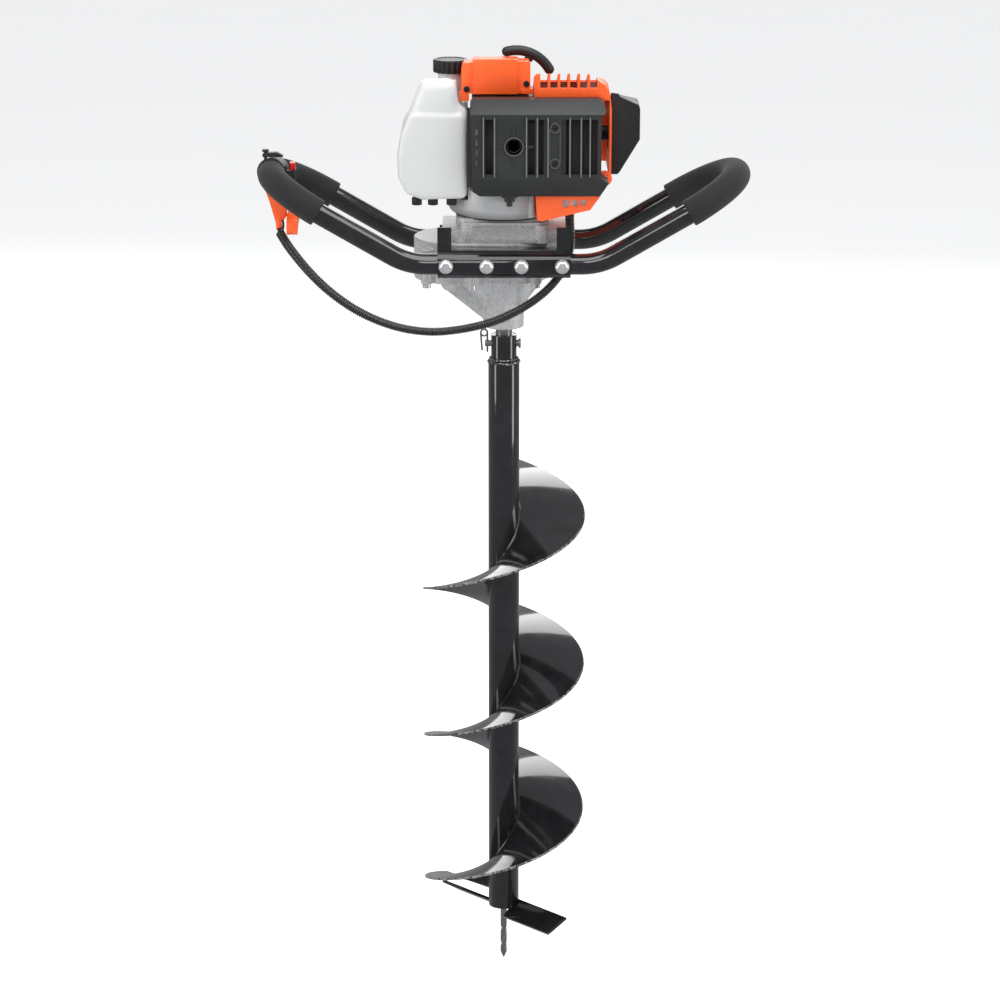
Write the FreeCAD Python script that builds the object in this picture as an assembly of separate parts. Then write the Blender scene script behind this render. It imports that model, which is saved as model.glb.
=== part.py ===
# One-person petrol earth auger: engine head, looped handles, reduction gearbox and a 200 mm drill bit.
# Origin: on the drilling axis, level with the blades' cutting edge. +Z up, +X to the operator's right.
# The pilot point reaches below the origin. Lengths are in millimetres, angles in degrees.
import FreeCAD, Part
import os
from math import sin, cos, tan, pi, radians, sqrt, atan2, acos

V = FreeCAD.Vector
X_AXIS = V(1, 0, 0)
Y_AXIS = V(0, 1, 0)
Z_AXIS = V(0, 0, 1)

# ---- drill bit ----
flight_radius = 100.0
flight_pitch = 191.3
flight_thickness = 3.2
flight_start_angle = -223.0 - 720.0
flight_end_angle = 85.0
flight_level_at_zero = 527.5
tube_radius = 19.0
tube_wall = 2.5
tube_bottom = 13.0
tube_top = 722.0
connector_radius = 15.5
connector_top = 756.0
blade_length = 99.0
blade_width = 30.0
blade_thickness = 4.0
blade_tilt = 34.0
blade_azimuths = (-45.0, 135.0)
pilot_radius = 4.0
pilot_root_radius = 5.0
pilot_tip = -61.5
pilot_twist_top = -30.0
pilot_twist_radius = 3.6
hitch_level = 745.0
hitch_pin_radius = 4.0

# ---- gear train: two equal stages that come back to the drilling axis ----
gear_module = 1.5
pressure_angle = 25.0
small_teeth = 12
large_teeth = 60
tooth_thinning = 0.16
centre_distance = gear_module * (small_teeth + large_teeth) / 2
counter_x = -centre_distance
shaft_radius = 10.0
counter_radius = 6.0
final_gear_low = 834.0
final_gear_high = 848.0
first_gear_low = 854.0
first_gear_high = 864.0

# ---- gearbox and clutch ----
nose_radius = 24.0
nose_bottom = 766.0
lower_case_floor = 828.0
case_split = 851.0
upper_case_top = 878.0
lobe_radius = 54.0
lobe_wall = 5.0
flange_top = 899.5
flange_half_x = 57.4
flange_half_y = 52.0
drum_radius = 39.0
drum_low = 882.0
drum_high = 898.0

# ---- engine ----
fan_radius = 67.0
fan_low = 911.0
fan_high = 942.0
crank_level = 1002.0
crankcase_top = 1050.0
cylinder_start = 34.0
cylinder_end = 100.0
fin_half = 38.0
fin_pitch = 6.5
bore_radius = 22.0
crank_throw = 15.0

# ---- handle frame ----
handle_radius = 12.5
handle_wall = 2.0
handle_y = 75.0
handle_z = 858.0
kink_x = 113.0
kink_radius = 80.0
kink_angle = 30.0
loop_start_x = 212.7
grip_radius = 16.5
clamp_half = 78.5
clamp_thickness = 3.0
clamp_bolt_x = (-68.5, -20.5, 20.5, 68.5)


def cylinder(radius, low, high, x=0.0, y=0.0):
    return Part.makeCylinder(radius, high - low, V(x, y, low), Z_AXIS)


def ring(outer, inner, low, high, x=0.0, y=0.0):
    return cylinder(outer, low, high, x, y).cut(cylinder(inner, low - 1, high + 1, x, y))


def rod(start, end, radius):
    a = V(*start)
    along = V(*end) - a
    return Part.makeCylinder(radius, along.Length, a, along)


def block(x0, x1, y0, y1, z0, z1):
    return Part.makeBox(x1 - x0, y1 - y0, z1 - z0, V(x0, y0, z0))


def outline(points):
    corners = [V(*p) for p in points]
    return Part.Wire(Part.makePolygon(corners + corners[:1]).Edges)


def prism_y(points, y0, y1):
    """Extrude an outline given in x and z along y."""
    wire = outline([(x, y0, z) for x, z in points])
    return Part.Face(wire).extrude(V(0, y1 - y0, 0))


def prism_x(points, x0, x1):
    """Extrude an outline given in y and z along x."""
    wire = outline([(x0, y, z) for y, z in points])
    return Part.Face(wire).extrude(V(x1 - x0, 0, 0))


def prism_z(points, z0, z1):
    """Extrude an outline given in x and y along z."""
    wire = outline([(x, y, z0) for x, y in points])
    return Part.Face(wire).extrude(V(0, 0, z1 - z0))


def inset_prism_y(points, y0, y1, inset):
    """Extrude an x and z outline along y after moving its sides inwards."""
    wire = outline([(x, y0, z) for x, z in points])
    face = Part.Face(wire).makeOffset2D(-inset, 2, False, False, False) if inset else Part.Face(wire)
    return face.extrude(V(0, y1 - y0, 0))


def fuse(shapes):
    whole = shapes[0]
    for shape in shapes[1:]:
        whole = whole.fuse(shape)
    return whole.removeSplitter()


def cut_all(shape, tools):
    for tool in tools:
        shape = shape.cut(tool)
    return shape


def rounded_box(x0, x1, y0, y1, z0, z1, radius):
    """A box whose four upright edges are rounded."""
    body = block(x0, x1, y0, y1, z0, z1)
    upright = [e for e in body.Edges if abs(e.Vertexes[0].Z - e.Vertexes[1].Z) > 0.1]
    return body.makeFillet(radius, upright)


def mirrored_y(shape):
    return shape.mirror(V(0, 0, 0), Y_AXIS)


def mirrored_x(shape):
    return shape.mirror(V(0, 0, 0), X_AXIS)


def save(name, shape):
    solids = shape.Solids
    body = solids[0] if len(solids) == 1 else Part.makeCompound(solids)
    if not body.isValid():
        print("NOT VALID:", name)
    body.exportStep("parts/" + name + ".step")
    print(f"{name}: {len(solids)} solid(s), {body.Volume / 1000:.1f} cm3")


# ---------------------------------------------------------------- drill bit
def make_flight():
    """The screw flight: a thin radial strip swept along a rising anticlockwise helix."""
    turn = flight_end_angle - flight_start_angle
    spine = Part.makeHelix(flight_pitch, flight_pitch * turn / 360, flight_radius * 0.6)
    strip = outline([(tube_radius, 0, 0), (flight_radius, 0, 0), (flight_radius, 0, flight_thickness),
                     (tube_radius, 0, flight_thickness)])
    flight = spine.makePipeShell([strip], True, True)
    flight.rotate(V(0, 0, 0), Z_AXIS, flight_start_angle)
    flight.translate(V(0, 0, flight_level_at_zero + flight_pitch * flight_start_angle / 360))
    return flight


def make_auger_tube():
    """Hollow stem with a plug at the bottom and the welded connector sleeve at the top."""
    stem = ring(tube_radius, tube_radius - tube_wall, tube_bottom, tube_top)
    plug = ring(tube_radius - tube_wall, pilot_root_radius, tube_bottom, tube_bottom + 14)
    weld = Part.makeCone(tube_radius, connector_radius, 4, V(0, 0, tube_top), Z_AXIS)
    sleeve = cylinder(connector_radius, tube_top - 26, connector_top)
    collar = cylinder(tube_radius - tube_wall, tube_top - 26, tube_top - 20)
    top = fuse([weld, sleeve, collar]).cut(cylinder(shaft_radius, tube_top - 40, connector_top + 1))
    cross = rod((-40, 0, hitch_level), (40, 0, hitch_level), hitch_pin_radius + 0.1)
    return fuse([stem, plug, top]).cut(cross)


def make_blades():
    """Two inclined cutting plates, leading edge down, welded to the stem's end."""
    blades = []
    for azimuth in blade_azimuths:
        half = blade_width / 2
        plate = block(12, blade_length, -half, half, -blade_thickness / 2, blade_thickness / 2)
        tip_cut = prism_z([(blade_length - 9, -half - 1), (blade_length + 1, -half - 1), (blade_length + 1, half + 1),
                           (blade_length, half + 1)], -blade_thickness, blade_thickness)
        plate = plate.cut(tip_cut)
        plate.rotate(V(0, 0, 0), X_AXIS, blade_tilt)
        plate.rotate(V(0, 0, 0), Z_AXIS, azimuth)
        level = half * sin(radians(blade_tilt)) + blade_thickness / 2 * cos(radians(blade_tilt))
        plate.translate(V(0, 0, level))
        stem_room = cylinder(tube_radius, tube_bottom, tube_bottom + 40)
        blades.append(plate.cut(stem_room))
    return Part.makeCompound(blades)


def make_pilot():
    """Centring point: plain shank, then a flattened twist that ends in a point."""
    shank = cylinder(pilot_radius, pilot_twist_top, tube_bottom)
    root = cylinder(pilot_root_radius, tube_bottom, tube_bottom + 14)
    length = pilot_twist_top - pilot_tip
    cone = Part.makeCone(0.6, pilot_twist_radius, length * 0.45, V(0, 0, pilot_tip), Z_AXIS)
    drill = fuse([cone, cylinder(pilot_twist_radius, pilot_tip + length * 0.45, pilot_twist_top)])
    for step in range(6):
        level = pilot_tip + length * (step + 0.5) / 6
        for side in (0, 180):
            reach = pilot_twist_radius + 1.3
            slot = rod((reach, -9, level - 4), (reach, 9, level + 4), 2.5)
            slot.rotate(V(0, 0, 0), Z_AXIS, step * 55 + side)
            drill = drill.cut(slot)
    return fuse([shank, root, drill])


def make_output_shaft():
    shaft = cylinder(shaft_radius, 704, final_gear_high + 1)
    cross = rod((-40, 0, hitch_level), (40, 0, hitch_level), hitch_pin_radius + 0.1)
    return shaft.cut(cross)


def make_hitch_pin():
    pin = rod((-23, 0, hitch_level), (17.5, 0, hitch_level), hitch_pin_radius)
    head = rod((17.5, 0, hitch_level), (20.5, 0, hitch_level), 6)
    hole = rod((-20, 0, hitch_level - 10), (-20, 0, hitch_level + 10), 1.4)
    return fuse([pin, head]).cut(hole)


def make_hitch_clip():
    """Spring clip: one straight leg through the pin and one bowed leg around it."""
    wire = 1.2
    leg = rod((-20, 0, hitch_level - 11), (-20, 0, hitch_level + 13), wire)
    loop = Part.makeTorus(4, wire, V(-24, 0, hitch_level + 13), Y_AXIS)
    bow = rod((-28, 0, hitch_level + 13), (-26.5, 0, hitch_level - 9), wire)
    return fuse([leg, loop, bow])


# ---------------------------------------------------------------- gears
def involute_point(base, radius, sign, offset):
    roll = sqrt(max((radius / base) ** 2 - 1, 0))
    angle = sign * (roll - atan2(roll, 1)) + offset
    return V(radius * cos(angle), radius * sin(angle), 0)


def make_gear(teeth, low, high, bore, turn):
    """Spur gear with involute flanks. A tooth centre lies at the angle turn."""
    pitch_radius = gear_module * teeth / 2
    base = pitch_radius * cos(radians(pressure_angle))
    tip = pitch_radius + gear_module
    root = pitch_radius - 1.25 * gear_module
    involute = tan(radians(pressure_angle)) - radians(pressure_angle)
    half_tooth = pi / (2 * teeth) - tooth_thinning / (2 * pitch_radius)
    start = max(base, root)
    corners = []
    for tooth in range(teeth):
        middle = radians(turn) + 2 * pi * tooth / teeth
        for sign, steps in ((1, (0, 0.35, 0.7, 1)), (-1, (1, 0.7, 0.35, 0))):
            flank = []
            for step in steps:
                radius = start + (tip - start) * step
                offset = middle - sign * (half_tooth + involute)
                flank.append(involute_point(base, radius, sign, offset))
            foot_angle = middle - sign * (half_tooth + involute)
            foot = V(root * cos(foot_angle), root * sin(foot_angle), 0)
            if root < base:
                flank = [foot] + flank if sign > 0 else flank + [foot]
            corners.extend(flank)
    face = Part.Face(Part.Wire(Part.makePolygon(corners + corners[:1]).Edges))
    gear = face.extrude(V(0, 0, high - low))
    gear.translate(V(0, 0, low))
    if bore:
        gear = gear.cut(cylinder(bore, low - 1, high + 1))
    return gear


def make_output_gear():
    gear = make_gear(large_teeth, final_gear_low, final_gear_high, shaft_radius, 0)
    return gear.cut(ring(38, 18, final_gear_high - 3, final_gear_high + 1))


def make_counter_shaft():
    """Counter shaft with its small pinion cut on it."""
    pinion = make_gear(small_teeth, final_gear_low - 1, final_gear_high + 1, 0, 180.0 / small_teeth)
    shaft = cylinder(counter_radius, 817, 876)
    whole = fuse([shaft, pinion])
    whole.translate(V(counter_x, 0, 0))
    return whole


def make_counter_gear():
    gear = make_gear(large_teeth, first_gear_low, first_gear_high, counter_radius, 180.0 / large_teeth)
    gear = gear.cut(ring(38, 14, first_gear_high - 2, first_gear_high + 1))
    gear.translate(V(counter_x, 0, 0))
    return gear


def make_clutch_drum():
    """Drum, its hub shaft and the input pinion: one pressed unit."""
    pinion = make_gear(small_teeth, first_gear_low - 1, first_gear_high + 1, 0, 0)
    hub = cylinder(counter_radius, first_gear_low - 1, drum_low + 2)
    web = cylinder(drum_radius, drum_low, drum_low + 2.5)
    rim = ring(drum_radius, drum_radius - 2.5, drum_low, drum_high)
    return fuse([pinion, hub, web, rim])


def make_shoe(side):
    """One centrifugal shoe: a half ring that slides outwards."""
    shoe = ring(34.5, 12, drum_low + 4, drum_high - 1)
    keep = block(3, 60, -60, 60, drum_low, drum_high + 5)
    shoe = shoe.common(keep)
    return shoe if side > 0 else mirrored_x(shoe)


# ---------------------------------------------------------------- gearbox
def lobes(radius, low, high):
    """Plan of the gear case: a circle on each shaft joined by a straight-sided middle."""
    near = cylinder(radius, low, high)
    far = cylinder(radius, low, high, counter_x)
    return fuse([near, far, block(counter_x, 0, -radius, radius, low, high)])


def case_boss_places():
    """Screw places round the gear case, clear of the clamp bolts."""
    middle = lobe_radius - 0.5
    end = lobe_radius - 10
    return [(-38, -middle), (-38, middle), (38, -end), (38, end), (-92, -end), (-92, end)]


def make_lower_case():
    """Lower gear case: nose with two bearing seats, flared web, ribs and open gear chamber."""
    shell = lobes(lobe_radius, lower_case_floor, case_split)
    flare = Part.makeLoft([
        Part.Wire(Part.makeCircle(nose_radius, V(0, 0, 797), Z_AXIS)),
        Part.Wire(Part.makeCircle(50, V(-10, 0, lower_case_floor), Z_AXIS))], True)
    nose = cylinder(nose_radius, nose_bottom, lower_case_floor)
    counter_boss = cylinder(19, 812, lower_case_floor, counter_x)
    ribs = [
        prism_y([(-79, 830), (-75, 815), (-26, 776), (-22, 770), (22, 770), (27, 797), (52, 830)], -3, 3),
        prism_x([(-52, 830), (-23, 790), (23, 790), (52, 830)], -3, 3),
        prism_x([(-48, 830), (-20, 792), (-20, 830)], -24, -19),
        prism_x([(-46, 830), (-18, 792), (-18, 830)], 19, 24)]
    bosses = [cylinder(7, lower_case_floor, case_split, x, y) for x, y in case_boss_places()]
    pads = [block(x - 8, x + 8, -62.4, -46, 846, case_split) for x in clamp_bolt_x[1:3]]
    pads += [mirrored_y(pad) for pad in pads]
    body = fuse([shell, flare, nose, counter_boss] + ribs + bosses + pads)
    rooms = [
        lobes(lobe_radius - lobe_wall, lower_case_floor + 4, case_split + 1),
        cylinder(shaft_radius + 1.5, nose_bottom - 1, case_split),
        cylinder(21, nose_bottom + 6, nose_bottom + 18),
        cylinder(17, nose_bottom - 1, nose_bottom + 6),
        cylinder(21, 816, case_split),
        cylinder(14, 819, case_split, counter_x),
        cylinder(counter_radius + 1, 815.5, 820, counter_x)]
    rooms += [cylinder(3, lower_case_floor - 5, case_split + 1, x, y) for x, y in case_boss_places()]
    return cut_all(body, rooms)


def make_upper_case():
    """Upper gear case with its roof, bearing seats and the two side lugs."""
    shell = lobes(lobe_radius, case_split, upper_case_top)
    bosses = [cylinder(7, case_split, upper_case_top - 8, x, y) for x, y in case_boss_places()]
    pads = [block(x - 8, x + 8, -62.4, -46, case_split, 869) for x in clamp_bolt_x[1:3]]
    pads += [mirrored_y(pad) for pad in pads]
    lugs = [block(50, 73.6, -44, 44, 856, upper_case_top), block(-73.6, -50, -44, 44, 856, upper_case_top)]
    body = fuse([shell] + bosses + pads + lugs)
    rooms = [
        lobes(lobe_radius - lobe_wall, case_split - 1, first_gear_high + 3),
        cylinder(14, first_gear_high, 876),
        cylinder(counter_radius + 1.5, 870, upper_case_top + 1),
        cylinder(14, first_gear_high, 876.5, counter_x)]
    rooms += [cylinder(3, case_split - 1, upper_case_top - 10, x, y) for x, y in case_boss_places()]
    for x in clamp_bolt_x[1:3]:
        rooms.append(rod((x, -70, handle_z), (x, -49.5, handle_z), 4))
        rooms.append(rod((x, 49.5, handle_z), (x, 70, handle_z), 4))
    return cut_all(body, rooms)


def make_bearings():
    """Ball bearings of the gearbox, each drawn as one closed ring with a race groove on each face."""
    rings = [
        ring(21, shaft_radius, nose_bottom + 6, nose_bottom + 18),
        ring(21, shaft_radius, 816, 828),
        ring(14, counter_radius, 819, 827, counter_x),
        ring(14, counter_radius, 868, 876, counter_x),
        ring(14, counter_radius, 868, 876)]
    return Part.makeCompound(rings)


def make_output_seal():
    return ring(17, shaft_radius + 0.05, nose_bottom, nose_bottom + 6)


def make_case_screws():
    screws = []
    for x, y in case_boss_places():
        shank = cylinder(3, lower_case_floor, upper_case_top - 10, x, y)
        head = cylinder(5, lower_case_floor - 5, lower_case_floor, x, y)
        socket = cylinder(2.2, lower_case_floor - 6, lower_case_floor - 2, x, y)
        screws.append(fuse([shank, head]).cut(socket))
    return Part.makeCompound(screws)


def make_clutch_housing():
    """Square flange with corner bosses, side lugs and the neck that carries the engine."""
    half_x = flange_half_x - 4
    half_y = flange_half_y - 4
    body = rounded_box(-half_x, half_x, -half_y, half_y, upper_case_top, flange_top, 9)
    for x in (-44, 44):
        for y in (-44, 44):
            body = body.fuse(cylinder(8.5, upper_case_top, flange_top, x, y))
    rim = rounded_box(-flange_half_x, flange_half_x, -50, 50, upper_case_top, upper_case_top + 5, 12)
    lugs = [block(50, 73.6, -44, 44, upper_case_top, 893), block(-73.6, -50, -44, 44, upper_case_top, 893)]
    neck = rounded_box(-57, 46, -46, 46, flange_top - 1, fan_low - 4, 14)
    sill = rounded_box(-54, 52, -50, 50, flange_top - 1, flange_top + 3, 12)
    body = fuse([body, rim, neck, sill] + lugs)
    rooms = [
        cylinder(drum_radius + 1.5, drum_low - 1.5, fan_low),
        cylinder(counter_radius + 1.5, upper_case_top - 1, drum_low)]
    return cut_all(body, rooms)


# ---------------------------------------------------------------- engine
def make_fan_case():
    """Round bowl around the flywheel fan, with a base plate and an outlet to the duct."""
    bowl = cylinder(fan_radius, fan_low - 4, fan_high)
    foot = [edge for edge in bowl.Edges if abs(edge.BoundBox.ZMax - fan_low + 4) < 0.01]
    bowl = bowl.makeFillet(12, foot)
    inside = cylinder(fan_radius - 4, fan_low + 3, fan_high + 1)
    post = cylinder(4.1, fan_low, fan_high, 32.4, -60)
    outlet = block(36, 70, -30, 30, fan_low + 6, fan_high - 3)
    air_hole = cylinder(30, fan_low - 5, fan_low + 4)
    body = cut_all(fuse([bowl, post]), [inside, outlet, air_hole])
    step_roof = block(-70, -40, -70, 70, 927.2, 929.6)
    step_wall = block(-42.6, -40, -70, 70, 927.2, fan_high)
    step = fuse([step_roof, step_wall]).common(bowl)
    tank_room = block(-70, -42.6, -70, 70, 929.6, fan_high + 1)
    return fuse([body, step]).cut(tank_room)


def make_flywheel():
    """Magneto flywheel with a ring of cooling vanes and its clutch hub underneath."""
    disc = cylinder(52, fan_low + 8, fan_low + 13)
    hub = cylinder(14, fan_low + 8, fan_high - 0.5)
    carrier = cylinder(10, drum_high - 10, fan_low + 9)
    vanes = []
    for index in range(16):
        vane = block(24, 48, -1, 1, fan_low + 12, fan_low + 15.5)
        vane.rotate(V(24, 0, 0), Z_AXIS, 25)
        vane.rotate(V(0, 0, 0), Z_AXIS, index * 22.5)
        vanes.append(vane)
    body = fuse([disc, hub, carrier] + vanes)
    return body.cut(cylinder(7, drum_high - 12, fan_high + 3))


def make_crankcase():
    body = rounded_box(-38, cylinder_start, -36, 36, fan_high, crankcase_top, 8)
    rooms = [
        cylinder(31, crank_level - 16, crank_level + 16),
        cylinder(7.6, fan_high - 1, crankcase_top + 1),
        rod((0, 0, crank_level), (60, 0, crank_level), bore_radius - 1)]
    return cut_all(body, rooms)


def make_crankshaft():
    """Shaft from the clutch hub to the starter, with two webs and a crankpin towards the cylinder."""
    lower = cylinder(7, drum_high - 8, crank_level - 14)
    upper = cylinder(7, crank_level + 14, 1063)
    webs = [cylinder(29, crank_level - 14, crank_level - 6), cylinder(29, crank_level + 6, crank_level + 14)]
    pin = cylinder(5, crank_level - 7, crank_level + 7, crank_throw)
    return fuse([lower, upper] + webs + [pin])


def make_connecting_rod():
    big = ring(9, 5, crank_level - 5, crank_level + 5, crank_throw)
    small = ring(7, 4, crank_level - 5, crank_level + 5, 58)
    beam = block(crank_throw + 7, 52.5, -4, 4, crank_level - 3, crank_level + 3)
    return fuse([big, small, beam])


def make_piston():
    """Hollow piston with its gudgeon pin."""
    outer = rod((50, 0, crank_level), (78, 0, crank_level), bore_radius - 0.05)
    inner = rod((49, 0, crank_level), (72, 0, crank_level), bore_radius - 3)
    pin = cylinder(4, crank_level - 20, crank_level + 20, 58)
    return fuse([outer.cut(inner), pin])


def make_cylinder():
    """Finned cylinder with a closed head, an exhaust port in front and an intake port behind."""
    barrel = rod((cylinder_start, 0, crank_level), (cylinder_end - 4, 0, crank_level), bore_radius + 5)
    flange = block(cylinder_start, cylinder_start + 5, -30, 30, crank_level - 30, crank_level + 30)
    low = crank_level - fin_half
    high = crank_level + fin_half
    fins = []
    for index in range(8):
        x = cylinder_start + 11 + index * fin_pitch
        fins.append(block(x, x + 2, -fin_half, fin_half, low, high))
    ports = block(48, 76, -42, 42, crank_level - 14, crank_level + 14)
    body = fuse([barrel, flange, ports] + fins)
    rooms = [
        rod((0, 0, crank_level), (cylinder_end - 10, 0, crank_level), bore_radius),
        rod((62, -50, crank_level), (62, 50, crank_level), 9),
        rod((cylinder_end - 12, 0, crank_level), (cylinder_end + 1, 0, crank_level), 7)]
    return cut_all(body, rooms)


def make_spark_plug():
    thread = rod((cylinder_end - 9, 0, crank_level), (cylinder_end - 4, 0, crank_level), 7)
    body = rod((cylinder_end - 4, 0, crank_level), (cylinder_end + 4, 0, crank_level), 9.5)
    insulator = rod((cylinder_end + 4, 0, crank_level), (cylinder_end + 24, 0, crank_level), 5)
    stud = rod((cylinder_end + 24, 0, crank_level), (cylinder_end + 30, 0, crank_level), 3)
    return fuse([thread, body, insulator, stud])


def make_plug_boot():
    outer = rod((cylinder_end + 10, 0, crank_level), (cylinder_end + 36, 0, crank_level), 9)
    room = rod((cylinder_end + 9, 0, crank_level), (cylinder_end + 24, 0, crank_level), 5)
    tip = rod((cylinder_end + 23, 0, crank_level), (cylinder_end + 30, 0, crank_level), 3)
    return cut_all(outer, [room, tip])


def make_muffler():
    """Hollow steel box on the exhaust port, with its outlet stub facing forwards."""
    box = rounded_box(-28, 92, -94, -46, 964, 1042, 8)
    room = rounded_box(-26.5, 90.5, -92.5, -47.5, 965.5, 1040.5, 6.5)
    port = block(48, 76, -46, -42, crank_level - 14, crank_level + 14)
    stub = rod((11.4, -93, 1002.6), (11.4, -100, 1002.6), 8.5)
    body = fuse([box, port, stub])
    rooms = [room, rod((62, -60, crank_level), (62, -40, crank_level), 9),
             rod((11.4, -88, 1002.6), (11.4, -101, 1002.6), 7)]
    return cut_all(body, rooms)


cover_side = [(-105, 963.7), (-105, 1040), (-84, 1054.5), (-64, 1054.5), (-64, 940.5), (-84, 940.5)]
cover_inside = [(-102.5, 964.9), (-102.5, 1038.7), (-83.2, 1052), (-60, 1052), (-60, 943), (-83, 943)]
cover_front = [(-39.5, 1050), (-36, 1054.5), (111.5, 1054.5), (116, 1051.5), (118.5, 1043), (113, 1036), (113, 966),
               (122, 959), (117, 949), (112, 940.5), (-28.5, 940.5), (-37, 947)]


def make_muffler_cover():
    """Heat guard: bevelled shell with an open grille of upright fins and the exhaust opening."""
    shell = prism_x(cover_side, -42, 123).common(prism_y(cover_front, -110, -60))
    room = prism_x(cover_inside, -42, 121).common(inset_prism_y(cover_front, -110, -50, 2.5))
    body = shell.cut(room).cut(cylinder(fan_radius + 0.6, 930, 943.6))
    windows = [(-22, -13), (28, 36), (40.5, 49), (67, 75), (78, 88), (91, 98.5), (101, 108.5)]
    windows_left = [block(-33, -31, -106, -101, 980 + 12 * i, 987 + 12 * i) for i in range(4)]
    for left, right in windows:
        body = body.cut(block(left, right, -106, -101, 970, 1034))
    body = cut_all(body, windows_left)
    body = body.cut(rod((11.4, -110, 1002.6), (11.4, -95, 1002.6), 9.5))
    fins = [block(x - 1, x + 1, -103, -97, 968, 1036) for x in (-24, -11, 26, 38.5, 51, 76.5, 89.5, 99.8)]
    bosses = [rod((59, -105, z), (59, -97, z), 6) for z in (983, 1024.5)]
    for left, right in ((46, 72), (-9, 24)):
        fins.append(block(left, right, -103, -101, 968, 1036).cut(
            rod((11.4, -110, 1002.6), (11.4, -95, 1002.6), 9.5)))
    return fuse([body] + fins + bosses)


def make_carburettor():
    body = rounded_box(46, 78, 42, 82, crank_level - 16, crank_level + 16, 5)
    bowl = cylinder(12, crank_level - 26, crank_level - 16, 62, 62)
    barrel = rod((62, 30, crank_level), (62, 90, crank_level), 8)
    return fuse([body, bowl]).cut(barrel)


def make_carburettor_lever():
    """Throttle lever on the carburettor's side, turned by the cable."""
    hub = rod((41, 62, crank_level), (45.5, 62, crank_level), 5)
    arm = block(42, 44, 59, 65, crank_level, crank_level + 20)
    eye = rod((42, 62, crank_level + 20), (44, 62, crank_level + 20), 3)
    return fuse([hub, arm, eye])


def make_air_filter_case():
    tray = rounded_box(28, 98, 82, 98, crank_level - 36, crank_level + 36, 4)
    room = block(31, 95, 85, 99, crank_level - 33, crank_level + 33)
    duct = rod((62, 80, crank_level), (62, 90, crank_level), 8)
    return cut_all(tray, [room, duct])


def make_air_filter_element():
    return block(32, 94, 87, 98, crank_level - 32, crank_level + 32)


def make_air_filter_cover():
    """Domed filter cover with four cooling louvres."""
    outer = rounded_box(27, 99, 98, 120, crank_level - 37, crank_level + 37, 10)
    room = rounded_box(29.5, 96.5, 97, 117.5, crank_level - 34.5, crank_level + 34.5, 7.5)
    slots = [block(38, 88, 116, 121, crank_level - 22 + 12 * i, crank_level - 18 + 12 * i) for i in range(4)]
    return cut_all(outer, [room] + slots)


def make_choke_lever():
    hub = rod((98.4, 90, crank_level + 22), (104, 90, crank_level + 22), 5.5)
    arm = block(100, 103, 87, 93, crank_level + 22, crank_level + 48)
    tab = block(100, 109, 86, 94, crank_level + 44, crank_level + 48)
    return fuse([hub, arm, tab])


def make_primer_bulb():
    base = rod((83, 62, crank_level - 2), (86, 62, crank_level - 2), 10)
    dome = Part.makeSphere(9, V(86, 62, crank_level - 2), X_AXIS, 0, 90, 360)
    return fuse([base, dome])


# ---------------------------------------------------------------- fuel tank
tank_outline = [(-47, 932), (-97, 930.5), (-116, 938), (-125.5, 958), (-126, 984), (-121, 1010),
                (-96, 1073), (-57, 1074), (-53, 1043), (-43, 1036), (-43, 936)]
tank_front = -60.0
tank_back = 55.0
tank_wall = 2.5
cap_x = -63.5
cap_y = 26.0
neck_top = 1079.0


def tank_solid(inset):
    """The tank's outer form, or its inside when inset by the wall: the top slopes down to the back."""
    body = inset_prism_y(tank_outline, tank_front + inset, tank_back - inset, inset)
    slope = prism_x([(-30, 1075 - inset), (60, 1047 - inset), (60, 1100), (-30, 1100)], -140, -30)
    return body.cut(slope)


def make_tank():
    """Blow-moulded tank: a hollow shell with a round filler neck."""
    neck = cylinder(16, 1052, neck_top, cap_x, cap_y)
    body = fuse([tank_solid(0), neck]).cut(tank_solid(tank_wall))
    return body.cut(cylinder(13.5, 1040, neck_top + 2, cap_x, cap_y))


def make_tank_feet():
    """Rubber feet under the tank."""
    feet = [cylinder(6, 924, 933, x, -48) for x in (-103, -84, -62)]
    return Part.makeCompound([foot.cut(tank_solid(0)) for foot in feet])


def make_cap_seal():
    return cylinder(12.8, neck_top - 10, neck_top + 0.4, cap_x, cap_y)


def make_fuel_cap():
    """Ribbed screw cap."""
    skirt = ring(21, 16.4, neck_top - 8.5, neck_top + 1, cap_x, cap_y)
    top = cylinder(21, neck_top + 1, neck_top + 7, cap_x, cap_y)
    body = fuse([skirt, top])
    for index in range(18):
        angle = radians(index * 20)
        x = cap_x + 21.8 * cos(angle)
        y = cap_y + 21.8 * sin(angle)
        body = body.cut(cylinder(1.6, neck_top - 10, neck_top + 8, x, y))
    return body


# ---------------------------------------------------------------- starter
handle_arch = [(3.5, 1098.5), (32.0, 1096.5), (53.5, 1077.5)]
handle_bar_radius = 6.0
pull_direction = (0.38, 0.0, 0.925)
starter_profile = [(-50, 1055), (-50, 1084), (-46.5, 1090.6), (-38, 1091.5), (2, 1095), (31, 1077), (31, 1055)]
starter_front = [(-50, 1055), (-50, 1084), (-46.5, 1090.6), (-37.5, 1091), (-35.5, 1094.5), (15, 1094.5),
                 (17.6, 1092.3), (28.5, 1092.3), (31, 1088), (31, 1055)]
starter_panel = [(-36.3, 1054.8), (-36.3, 1092), (-33, 1095.6), (12.5, 1095.6), (16, 1092), (16, 1054.8)]


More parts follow.
